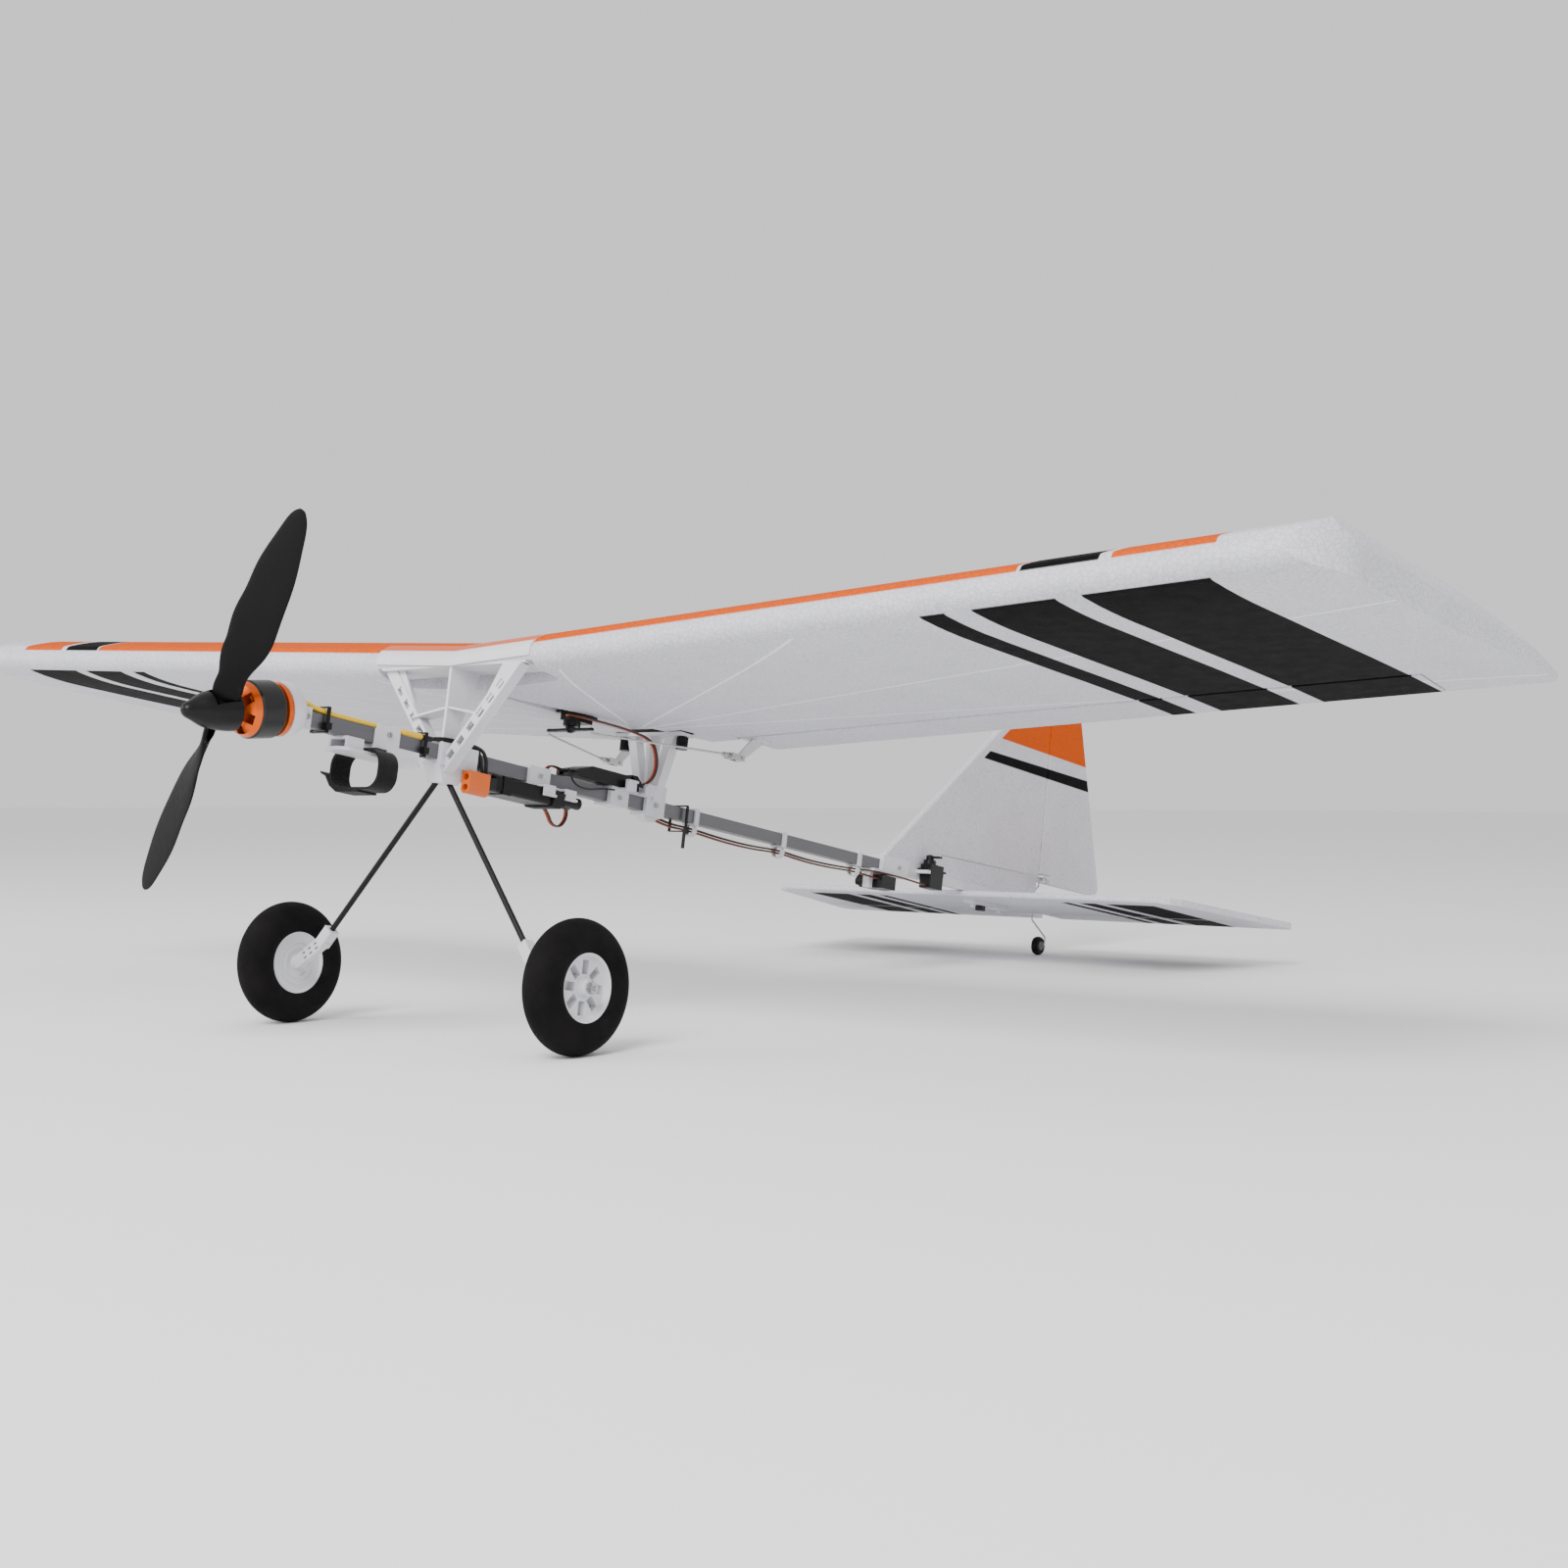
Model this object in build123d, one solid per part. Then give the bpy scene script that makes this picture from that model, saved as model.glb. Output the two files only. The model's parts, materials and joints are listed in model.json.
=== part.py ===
"""Stick-fuselage high-wing model aircraft, in millimetres.

Everything is drawn in the airframe's own axes: the stick's front end is the origin, +X runs
forward along the stick, +Y is to port and +Z is up. At the end every sub-part is stood on its
three wheels, nose up, with the origin at the bottom centre of the whole aircraft's box.
"""

from build123d import *
import math
import os

# ---------------------------------------------------------------- driving dimensions
STICK = 10.0                    # outside width of the square stick
STICK_WALL = 1.0
STICK_FRONT = 7.5               # front end, inside the motor mount
STICK_END = -702.0              # rear end
HALF = STICK / 2

DIHEDRAL = math.radians(3.2)
LE_X = -118.0                   # leading edge
TE_X = -426.0                   # trailing edge
HINGE_X = -373.0                # aileron hinge axis
HINGE_Z = 67.2                  # its height at the wing's centre
AILERON_IN = 52.0               # span stations of the aileron's two ends
AILERON_OUT = 566.0
TIP_Y = 630.0                   # span station of the wing tip at the trailing edge
AILERON_UP = 10.0               # degrees that the starboard aileron stands up at rest

HUB = (63.1, 0.0, -7.3)         # centre of the propeller hub
DOWNTHRUST = 12.2               # degrees
PROP_DIAMETER = 279.4           # 11 in
PROP_PITCH = 140.0
BLADE_ANGLE = 38.0              # degrees that the upper blade leans to port

WHEEL_X = -127.0
WHEEL_Y = 140.0
WHEEL_Z = -149.0
WHEEL_R = 43.5
RIM_R = 22.0
TAIL_WHEEL_X = -985.0
TAIL_WHEEL_R = 9.5
AXLE_R = 1.5

LEG_R = 2.0
LEG_CROSS_Z = -15.5             # height at which the two legs cross
LEG_SLOPE = 0.84                # sideways run for each unit of height
LEG_TOP_Z = 56.0
LEG_FOOT_Z = -132.0
LEG_X = {1: -127.0, -1: -121.0}  # the leg that ends at the port (1) and starboard (-1) wheel

FRONT_PYLON_X = -127.0
REAR_PYLON_X = -338.0

STAB_LE = -816.0
STAB_TE = -1012.0
STAB_HALF_LE = 221.0
STAB_HALF_TE = 260.0
STAB_Z = -7.0                   # middle of the foam
STAB_T = 6.0
ELEVATOR_X = -950.0
FIN_T = 7.0
RUDDER_X = -967.0
RUDDER_FOOT_Z = 24.0

RUN_FIT = 0.05                  # radial clearance of everything that turns on a pin
BODY_GAP = 0.4                  # least gap between two pieces that move past each other

# ---------------------------------------------------------------- helpers


def block(x0, x1, y0, y1, z0, z1):
    """Box between two corners."""
    size = (abs(x1 - x0), abs(y1 - y0), abs(z1 - z0))
    return Pos((x0 + x1) / 2, (y0 + y1) / 2, (z0 + z1) / 2) * Box(*size)


def bar(start, end, radius):
    """Round bar from one point to another."""
    axis = Vector(*end) - Vector(*start)
    plane = Plane(origin=start, z_dir=axis)
    return plane.location * Cylinder(radius, axis.length, align=(Align.CENTER, Align.CENTER, Align.MIN))


def slat(start, end, width, depth, x_mid):
    """Rectangular bar that runs between two (y, z) points in a plane across the aircraft."""
    dy = end[0] - start[0]
    dz = end[1] - start[1]
    length = math.hypot(dy, dz)
    lean = math.degrees(math.atan2(-dy, dz))
    middle = ((start[0] + end[0]) / 2, (start[1] + end[1]) / 2)
    return Pos(x_mid, middle[0], middle[1]) * Rot(lean, 0, 0) * Box(depth, width, length)


def side_face(points):
    """Face in the XZ plane from (x, z) points."""
    return make_face(Polyline([(x, 0, z) for x, z in points], close=True))


def side_plate(points, y0, y1):
    """Plate with a side-view outline, between two span stations."""
    return Pos(0, y0, 0) * extrude(side_face(points), amount=y1 - y0, dir=(0, 1, 0))


def span_prism(face, y0, y1):
    """Side-view face carried outwards along the port wing's dihedral."""
    rise = math.tan(DIHEDRAL)
    length = (y1 - y0) / math.cos(DIHEDRAL)
    direction = (0, math.cos(DIHEDRAL), math.sin(DIHEDRAL))
    return Pos(0, y0, y0 * rise) * extrude(face, amount=length, dir=direction)


def plan_plate(outline, z0, z1):
    """Plate with a plan-view outline."""
    return Pos(0, 0, z0) * extrude(make_face(outline), amount=z1 - z0, dir=(0, 0, 1))


def to_starboard(shape):
    return mirror(shape, about=Plane.XZ)


def cord_radii(points, share=0.45):
    """Largest tangent arc at each corner, from the shorter run beside it."""
    radii = []
    for before, corner, after in zip(points, points[1:], points[2:]):
        one = Vector(*corner) - Vector(*before)
        two = Vector(*after) - Vector(*corner)
        turn = math.radians(one.get_angle(two))
        radii.append(round(share * min(one.length, two.length) / math.tan(turn / 2), 2))
    return radii


def cord(points, radius, name=""):
    """Lead along straight runs and tangent arcs."""
    radii = cord_radii(points)
    path = FilletPolyline(*points, radius=radii)
    start = Plane(origin=path @ 0, z_dir=path % 0)
    tube = sweep(start * Circle(radius), path=path)
    least = min(radii) if radii else 0.0
    print(f"{name}: length {path.length:.0f}, radii from {least:.1f}, volume ratio "
          f"{tube.volume / (math.pi * radius ** 2 * path.length):.3f}")
    return tube


def joined(shapes):
    """One node from several solids that stay separate or fuse where they touch."""
    shapes = list(shapes)
    result = shapes[0]
    for shape in shapes[1:]:
        result = result + shape
    return result


def screw(place_at):
    """Self-tapping screw with a pan head on a port-side face."""
    x, y, z = place_at
    head = Pos(x, y + 0.7, z) * Rot(90, 0, 0) * Cylinder(1.9, 1.4)
    head -= Pos(x, y + 1.2, z) * Box(0.6, 1.2, 2.6)
    head -= Pos(x, y + 1.2, z) * Box(2.6, 1.2, 0.6)
    return head + Pos(x, y - 0.9, z) * Rot(90, 0, 0) * Cylinder(1.0, 1.8)


def screw_hole(place_at):
    x, y, z = place_at
    return Pos(x, y - 0.8, z) * Rot(90, 0, 0) * Cylinder(1.0, 2.0)


MOUNT_SCREW = (2.6, 7.2, 0.8)
TRAY_SCREW = (-64.5, 8.5, 2.0)
FRONT_SADDLE_SCREW = (-128.0, 8.6, 0.0)
ESC_CLIP_SCREW = (-209.0, 8.2, 0.5)
RECEIVER_CLIP_SCREW = (-296.0, 8.2, -0.5)
REAR_SADDLE_SCREW = (-339.0, 8.0, 0.5)
TAIL_SCREW = (-690.0, 9.0, 0.5)
SCREWS = (MOUNT_SCREW, TRAY_SCREW, FRONT_SADDLE_SCREW, ESC_CLIP_SCREW, RECEIVER_CLIP_SCREW,
          REAR_SADDLE_SCREW, TAIL_SCREW)

parts = {}

# ---------------------------------------------------------------- wing


def nose_curve():
    """Round nose of the section, from the underside forward and up to the top."""
    points = [(-130, 0, 52.6), (-120.5, 0, 57.0), (LE_X, 0, 63.5), (-121.5, 0, 71.0), (-133, 0, 77.8)]
    return Spline(points, tangents=[(1, 0, 0.12), (-1, 0, 0.42)])


def aerofoil():
    """Side-view section at the centre: round nose, near-flat bottom."""
    top = Spline([(-133, 0, 77.8), (-157, 0, 85.6), (-195, 0, 89.4), (-250, 0, 88.0), (-310, 0, 81.0),
                  (HINGE_X, 0, 69.6)], tangents=[(-1, 0, 0.42), (-1, 0, -0.2)])
    bottom = Spline([(HINGE_X, 0, 56.4), (-310, 0, 54.6), (-250, 0, 52.6), (-200, 0, 51.2), (-155, 0, 50.8),
                     (-130, 0, 52.6)], tangents=[(1, 0, -0.02), (1, 0, 0.12)])
    tail = Polyline([(HINGE_X, 0, 69.6), (TE_X, 0, 59.0), (TE_X, 0, 57.2), (HINGE_X, 0, 56.4)])
    return make_face([nose_curve(), top, tail, bottom])


def wing_planform():
    """Plan view of the port panel with its round leading corner and raked tip."""
    corner_start = (LE_X + 4, 556)
    corner_mid = (LE_X - 6, 586)
    corner_end = (-152, 602)
    edges = [
        Line((LE_X + 4, -1), corner_start),
        ThreePointArc(corner_start, corner_mid, corner_end),
        Line(corner_end, (TE_X + 12, TIP_Y)),
        ThreePointArc((TE_X + 12, TIP_Y), (TE_X + 3, TIP_Y - 1), (TE_X - 1, TIP_Y - 10)),
        Line((TE_X - 1, TIP_Y - 10), (TE_X - 1, -1)),
        Line((TE_X - 1, -1), (LE_X + 4, -1)),
    ]
    return make_face(edges)


def tip_envelope():
    """Front view of the panel, rounded down at the tip and carried back along the raked edge."""
    rise = math.tan(DIHEDRAL)
    tip = 603.0
    crest = 95.0 + rise * tip
    edges = [
        Line((0, -1, 20), (0, tip + 4, 20)),
        Line((0, tip + 4, 20), (0, tip + 4, 52 + rise * tip)),
        ThreePointArc((0, tip + 4, 52 + rise * tip), (0, tip - 8, crest - 17), (0, tip - 46, crest)),
        Line((0, tip - 46, crest), (0, -1, 130)),
        Line((0, -1, 130), (0, -1, 20)),
    ]
    rake = (TIP_Y - 602) / (TE_X + 12 + 152)
    face = Pos(LE_X + 10, -4, 0) * make_face(edges)
    return extrude(face, amount=360, dir=(-1, -rake, 0))


def hinge_fixed():
    """Fixed half of a pinned hinge: two knuckles and the pin, turning about Y."""
    shapes = [Rot(90, 0, 0) * Cylinder(0.6, 9.2)]
    for side in (-1, 1):
        shapes.append(Pos(0, side * 3.45, 0) * Rot(90, 0, 0) * Cylinder(1.5, 2.3))
        shapes.append(block(0, 3.4, side * 2.3, side * 4.6, -0.6, 0.6))
    return joined(shapes)


def hinge_moving():
    """Moving half of the hinge: one knuckle on the pin, its web to the rear."""
    knuckle = Rot(90, 0, 0) * Cylinder(1.5, 3.8) + block(-3.4, 0, -1.9, 1.9, -0.6, 0.6)
    return knuckle - Rot(90, 0, 0) * Cylinder(0.6 + RUN_FIT, 6)


def hinge_pocket(depth=3.4, below=2.6, above=12.0):
    """Room in the foam around one hinge."""
    return block(-depth, depth, -5.2, 5.2, -below, above)


def aileron_place(station):
    """Location of an aileron hinge on the port panel."""
    height = HINGE_Z + station * math.tan(DIHEDRAL)
    return Pos(HINGE_X, station, height) * Rot(math.degrees(DIHEDRAL), 0, 0)


AILERON_HINGES = (110.0, 310.0, 510.0)
HORN_Y = 64.0                   # span station of the aileron horn
HORN_HOLE = (HINGE_X + 9.0, HORN_Y, 41.5)


def port_panel():
    full = span_prism(aerofoil(), 0, 660)
    outline = extrude(wing_planform(), amount=200, dir=(0, 0, 1))
    return full & outline & tip_envelope()


def wing_half(panel):
    aileron_bay = side_face([(HINGE_X + 0.8, 30), (HINGE_X + 0.8, 110), (TE_X - 5, 110), (TE_X - 5, 30)])
    centre_cut = side_face([(HINGE_X - 7, 30), (HINGE_X - 7, 110), (TE_X - 5, 110), (TE_X - 5, 30)])
    half = panel - span_prism(aileron_bay, AILERON_IN, AILERON_OUT)
    half -= span_prism(centre_cut, -5, AILERON_IN)
    for station in AILERON_HINGES:
        half -= aileron_place(station) * hinge_pocket()
    # moulded pocket for the top of the front pylon
    pocket = Pos(-131, 0, 50) * Box(40, 150, 24)
    half -= fillet(pocket.edges().filter_by(Axis.Z), 8)
    # bay for the aileron servo and the pad of the rear pylon
    half -= block(-261.0, -236.4, -6.6, 6.6, 40, 70.6)
    half -= block(-265.4, -232.0, -6.6, 6.6, 40, 54.5)
    half -= block(REAR_PYLON_X - 9, REAR_PYLON_X + 9, -34, 34, 40, 59)
    return half


def aileron(panel):
    gap = 1.4
    shape = side_face([(HINGE_X - 0.8, 110), (HINGE_X - 0.8, HINGE_Z - 1), (HINGE_X - 5.3, 50),
                       (TE_X - 5, 50), (TE_X - 5, 110)])
    flap = panel & span_prism(shape, AILERON_IN + gap, AILERON_OUT - gap)
    for station in AILERON_HINGES:
        flap -= aileron_place(station) * hinge_pocket()
    return flap


def aileron_fittings():
    """Horn and the moving knuckles of one aileron."""
    surface = 59.5
    horn = side_plate([(HINGE_X - 22, surface), (HINGE_X - 6, surface), (HORN_HOLE[0] + 2.6, HORN_HOLE[2] + 1),
                       (HORN_HOLE[0] + 1.6, HORN_HOLE[2] - 2.4), (HORN_HOLE[0] - 2.4, HORN_HOLE[2] - 2.4)],
                      HORN_Y - 0.8, HORN_Y + 0.8)
    front = 56.4 + 6 * 0.8 / 53
    back = 56.4 + 24 * 0.8 / 53
    foot = side_face([(HINGE_X - 24, back), (HINGE_X - 6, front), (HINGE_X - 6, front - 1.4),
                      (HINGE_X - 24, back - 1.4)])
    horn += span_prism(foot, HORN_Y - 5, HORN_Y + 5)
    horn -= Pos(*HORN_HOLE) * Rot(90, 0, 0) * Cylinder(0.8, 6)
    shapes = [horn]
    shapes += [aileron_place(station) * hinge_moving() for station in AILERON_HINGES]
    return joined(shapes)


def raise_starboard(shape):
    """Turn a starboard aileron piece trailing edge up about its hinge."""
    axis = Axis((HINGE_X, 0, HINGE_Z), (0, -math.cos(DIHEDRAL), math.sin(DIHEDRAL)))
    return shape.rotate(axis, -AILERON_UP)


def leading_cap(port_wing):
    """Smooth cap over the wing joint: a thin skin on the nose between the two panels."""
    outer = Spline([(LE_X + 1, 0, 63.5), (-120.7, 0, 71.6), (-128.6, 0, 76.9)],
                   tangents=[(0, 0, 1), (-0.88, 0, 0.47)])
    face = make_face([
        outer,
        Line((-128.6, 0, 76.9), (-129.6, 0, 74.6)),
        Line((-129.6, 0, 74.6), (LE_X - 0.8, 0, 64.0)),
        Line((LE_X - 0.8, 0, 64.0), (LE_X - 0.8, 0, 60.6)),
        Line((LE_X - 0.8, 0, 60.6), (LE_X + 0.8, 0, 60.6)),
        Line((LE_X + 0.8, 0, 60.6), (LE_X + 1, 0, 63.5)),
    ])
    port = span_prism(face, 0, 74.5) - port_wing
    return port + to_starboard(port)


PANEL = port_panel()
WING_PORT = wing_half(PANEL)
AILERON_PORT = aileron(PANEL)
FITTINGS_PORT = aileron_fittings()
parts["wing_port"] = WING_PORT
parts["wing_starboard"] = to_starboard(WING_PORT)
parts["aileron_port"] = AILERON_PORT
parts["aileron_starboard"] = raise_starboard(to_starboard(AILERON_PORT))
parts["aileron_fittings_port"] = FITTINGS_PORT
parts["aileron_fittings_starboard"] = raise_starboard(to_starboard(FITTINGS_PORT))

# ---------------------------------------------------------------- stick and motor


def stick():
    outer = block(STICK_END, STICK_FRONT, -HALF, HALF, -HALF, HALF)
    inside = HALF - STICK_WALL
    return outer - block(STICK_END - 1, STICK_FRONT + 1, -inside, inside, -inside, inside)


MOTOR = Pos(*HUB) * Rot(0, DOWNTHRUST, 0)
SHAFT_R = 2.0
BELL_R = 18.0
MOUNT_FACE = -44.0              # rear of the motor, along the shaft from the propeller hub


def turned(points):
    """Solid of revolution about the motor shaft, from (station, radius) points."""
    face = make_face(Polyline([(s, 0, r) for s, r in points], close=True))
    return revolve(face, axis=Axis.X)


def motor_mount():
    """White cup behind the motor, with a neck that takes the end of the stick."""
    cup = turned([(MOUNT_FACE, 0), (MOUNT_FACE, 17.2), (MOUNT_FACE - 5, 17.4), (MOUNT_FACE - 9.5, 16.2),
                  (MOUNT_FACE - 12.5, 13.0), (MOUNT_FACE - 14, 9.0), (MOUNT_FACE - 14, 0)])
    cup -= turned([(MOUNT_FACE + 1, 0), (MOUNT_FACE + 1, 15.0), (MOUNT_FACE - 2.5, 15.0), (MOUNT_FACE - 2.5, 0)])
    body = MOTOR * cup + block(-1, 16, -7.2, 7.2, -7.2, 7.2)
    body -= block(-10, STICK_FRONT, -HALF, HALF, -HALF, HALF)
    for side in (-1, 1):
        body -= Pos(11.2, side * 7.2, 2.6) * Box(4.4, 2.8, 5.6)
    body -= block(-5, 26, -6.6, 6.6, 8.4, 13.4)
    return body - screw_hole(MOUNT_SCREW)


def motor_base():
    """Fixed side of the motor: back plate, bearing tube and wound stator."""
    bore = SHAFT_R + RUN_FIT
    base = turned([(MOUNT_FACE, 3.0), (MOUNT_FACE, 16.4), (MOUNT_FACE + 1.0, 17.0), (MOUNT_FACE + 4.0, 17.0),
                   (MOUNT_FACE + 5.0, 14.0), (MOUNT_FACE + 5.0, 4.2), (-22.0, 4.2), (-22.0, bore),
                   (MOUNT_FACE + 1.0, bore)])
    teeth = 9
    for k in range(teeth):
        tooth = Pos(-30.5, 0, 8.6) * Box(12, 3.2, 9.0)
        pole = Pos(-30.5, 0, 12.9) * Box(12, 6.4, 1.6)
        base += Rot(360 / teeth * k, 0, 0) * (tooth + pole)
    return MOTOR * base


def motor_bell():
    """Turning side of the motor: front plate with windows and the skirt."""
    shell = turned([(-10.0, SHAFT_R), (-10.0, 6.0), (-13.5, 10.5), (-16.0, 15.2), (-19.5, 17.0), (-24.0, 17.0),
                    (-24.0, 15.2), (-20.5, 15.0), (-18.0, 11.0), (-20.5, 5.6), (-20.5, SHAFT_R)])
    windows = 6
    for k in range(windows):
        cutter = Rot(360 / windows * k, 0, 0) * Pos(-16.5, 0, 11.6) * Box(12, 6.4, 6.2)
        shell -= cutter
    return MOTOR * shell


def flux_ring():
    ring = turned([(-19.8, 17.0), (-21.0, BELL_R), (-36.4, BELL_R), (-37.8, 17.2), (-37.8, 15.2),
                   (-24.0, 15.2), (-24.0, 17.0)])
    return MOTOR * ring


def motor_shaft():
    """Shaft and prop adapter, with the nut that holds the propeller."""
    shaft = turned([(16.5, 0), (14.5, 2.9), (5.6, 2.9), (5.4, 4.4), (5.2, 2.5), (-5.2, 2.5), (-5.4, 7.0),
                    (-7.5, 7.0), (-9.6, 4.6), (-9.9, SHAFT_R), (-42.5, SHAFT_R), (-42.5, 0)])
    return MOTOR * shaft


def blade_sections():
    """Radius, chord and thickness of the blade, from root to tip."""
    return ((7.0, 13.0, 7.0), (22.0, 17.0, 5.4), (42.0, 26.0, 4.2), (66.0, 31.5, 3.3), (90.0, 30.0, 2.6),
            (112.0, 24.5, 2.0), (128.0, 17.5, 1.5), (136.5, 10.5, 1.1), (PROP_DIAMETER / 2, 4.0, 0.8))


def propeller():
    sections = []
    for radius, chord, thick in blade_sections():
        pitch = math.atan2(PROP_PITCH, 2 * math.pi * max(radius, 16.0))
        plane = Plane(origin=(0, 0, radius), x_dir=(math.sin(pitch), -math.cos(pitch), 0), z_dir=(0, 0, 1))
        sections.append(plane * Ellipse(chord / 2, thick / 2))
    blade = loft(sections)
    hub = Rot(0, 90, 0) * Cylinder(9.0, 10.0)
    both = hub + blade + Rot(180, 0, 0) * blade
    both -= Rot(0, 90, 0) * Cylinder(2.5, 12)
    return MOTOR * Rot(-BLADE_ANGLE, 0, 0) * both


def spinner():
    """Bullet spinner: a shell with slots for the blades."""
    outer = Spline([(26.0, 0, 0), (21.0, 0, 5.6), (10.0, 0, 10.8), (-1.0, 0, 12.8), (-9.0, 0, 13.2)],
                   tangents=[(0, 0, 1), (-1, 0, 0)])
    inner = Spline([(22.0, 0, 0), (17.5, 0, 5.0), (8.0, 0, 9.6), (-1.0, 0, 11.4), (-7.4, 0, 11.8)],
                   tangents=[(0, 0, 1), (-1, 0, 0)])
    face = make_face([
        outer,
        Line(outer @ 1, (-9.0, 0, 7.6)),
        Line((-9.0, 0, 7.6), (-7.4, 0, 7.6)),
        Line((-7.4, 0, 7.6), inner @ 1),
        inner,
        Line(inner @ 0, outer @ 0),
    ])
    shell = revolve(face, axis=Axis.X)
    slot = Pos(0.6, 0, 0) * Rot(-BLADE_ANGLE, 0, 0) * Box(16.0, 14.0, 40)
    return MOTOR * (shell - slot)


parts["stick"] = stick()
parts["motor_mount"] = motor_mount()
parts["motor_base"] = motor_base()
parts["motor_bell"] = motor_bell()
parts["flux_ring"] = flux_ring()
parts["motor_shaft"] = motor_shaft()
parts["propeller"] = propeller()
parts["spinner"] = spinner()

# ---------------------------------------------------------------- undercarriage and pylons


def leg_y(side, z):
    """Sideways place of a leg's axis; side is the wheel that it ends at."""
    return -side * LEG_SLOPE * (z - LEG_CROSS_Z)


def leg(side):
    start = (LEG_X[side], leg_y(side, LEG_TOP_Z), LEG_TOP_Z)
    end = (LEG_X[side], leg_y(side, LEG_FOOT_Z), LEG_FOOT_Z)
    return bar(start, end, LEG_R)


LEG_LEAN = math.degrees(math.atan(LEG_SLOPE))
PYLON_TOP = 62.0


def ladder_channel(side):
    """Channel that holds the upper leg; its front face has six windows."""
    x_mid = LEG_X[side]
    low_z = -10.0
    channel = slat((leg_y(side, low_z), low_z), (leg_y(side, PYLON_TOP), PYLON_TOP), 8.6, 9.0, x_mid)
    reach = 15.0
    for k in range(6):
        z = -1.0 + k * 9.4
        cutter = Pos(x_mid + reach / 2 + 1.0, leg_y(side, z), z) * Rot(side * LEG_LEAN, 0, 0)
        channel -= cutter * Box(reach, 4.6, 6.6)
    return channel


def front_pylon():
    body = ladder_channel(1) + ladder_channel(-1)
    # triangular gusset on the outboard side of each channel
    for side in (-1, 1):
        gusset = make_face(Polyline([(0, -side * 27, 18), (0, -side * 66, PYLON_TOP),
                                     (0, -side * 52, PYLON_TOP)], close=True))
        body += Pos(LEG_X[side] + 3.4, 0, 0) * extrude(gusset, amount=1.6, dir=(-1, 0, 0))
    body += side_plate([(-119, PYLON_TOP), (-119, 4), (-143, 4), (-133, 22), (-140, 40), (-147, PYLON_TOP)],
                       -1.1, 1.1)
    for side in (-1, 1):
        web = make_face(Polyline([(0, 0, 33.4), (0, side * 34, 27.4), (0, side * 34, 25.8), (0, 0, 31.8)],
                                 close=True))
        body += Pos(-120, 0, 0) * extrude(web, amount=13, dir=(-1, 0, 0))
    body += block(-119, -147, -70, 70, PYLON_TOP - 1.6, PYLON_TOP)
    saddle = block(-112, -146, -8.6, 8.6, -8.6, 6.8)
    keel = side_plate([(-112, -8), (-117, -20), (-131, -20), (-142, -8)], -7.5, 7.5)
    body += saddle + keel
    body -= block(-100, -160, -HALF, HALF, -HALF, HALF)
    for side in (-1, 1):
        low = (LEG_X[side], leg_y(side, -40), -40)
        high = (LEG_X[side], leg_y(side, LEG_TOP_Z), LEG_TOP_Z)
        body -= bar(low, high, LEG_R)
    body -= block(-90, -200, -120, 120, PYLON_TOP, PYLON_TOP + 20)
    body -= block(-90, LE_X - 1, -120, 120, PYLON_TOP - 1.8, PYLON_TOP + 20)
    return body - screw_hole(FRONT_SADDLE_SCREW)


def rear_pylon():
    x = REAR_PYLON_X
    top = 56.4
    body = block(x - 8, x + 8, -33, 33, top - 2.4, top)
    for side in (-1, 1):
        body += slat((side * 5.0, 4), (side * 20.0, top), 7.5, 9.0, x)
    body += side_plate([(x - 7, top), (x + 7, top), (x + 4, 6), (x - 4, 6)], -1.6, 1.6)
    body -= block(x - 30, x + 30, -60, 60, top, top + 20)
    body += block(x - 12, x + 10, -8.0, 8.0, -8.0, 16.0)
    body += side_plate([(x - 10, -8), (x + 8, -8), (x + 3, -12), (x - 5, -12)], -4, 4)
    body -= block(x - 20, x + 20, -HALF, HALF, -HALF, HALF)
    return body - screw_hole(REAR_SADDLE_SCREW)


def rear_pylon_pad():
    x = REAR_PYLON_X
    return block(x - 8, x + 8, -32, 32, 56.4, 59.0)


def pylon_knobs():
    """Two hand nuts that clamp the wing to the rear pylon, with their studs."""
    knobs = []
    for side in (-1, 1):
        centre = (REAR_PYLON_X, side * 28.5)
        grip = Pos(centre[0], centre[1], 48.6) * Cylinder(4.6, 9.6)
        for k in range(8):
            turn = math.radians(45 * k)
            flute = Pos(centre[0] + 5.1 * math.cos(turn), centre[1] + 5.1 * math.sin(turn), 48.6)
            grip -= flute * Cylinder(1.1, 12)
        neck = Pos(centre[0], centre[1], 53.7) * Cylinder(3.2, 0.6)
        knobs.append(grip + neck)
    return knobs[0] + knobs[1]


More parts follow.
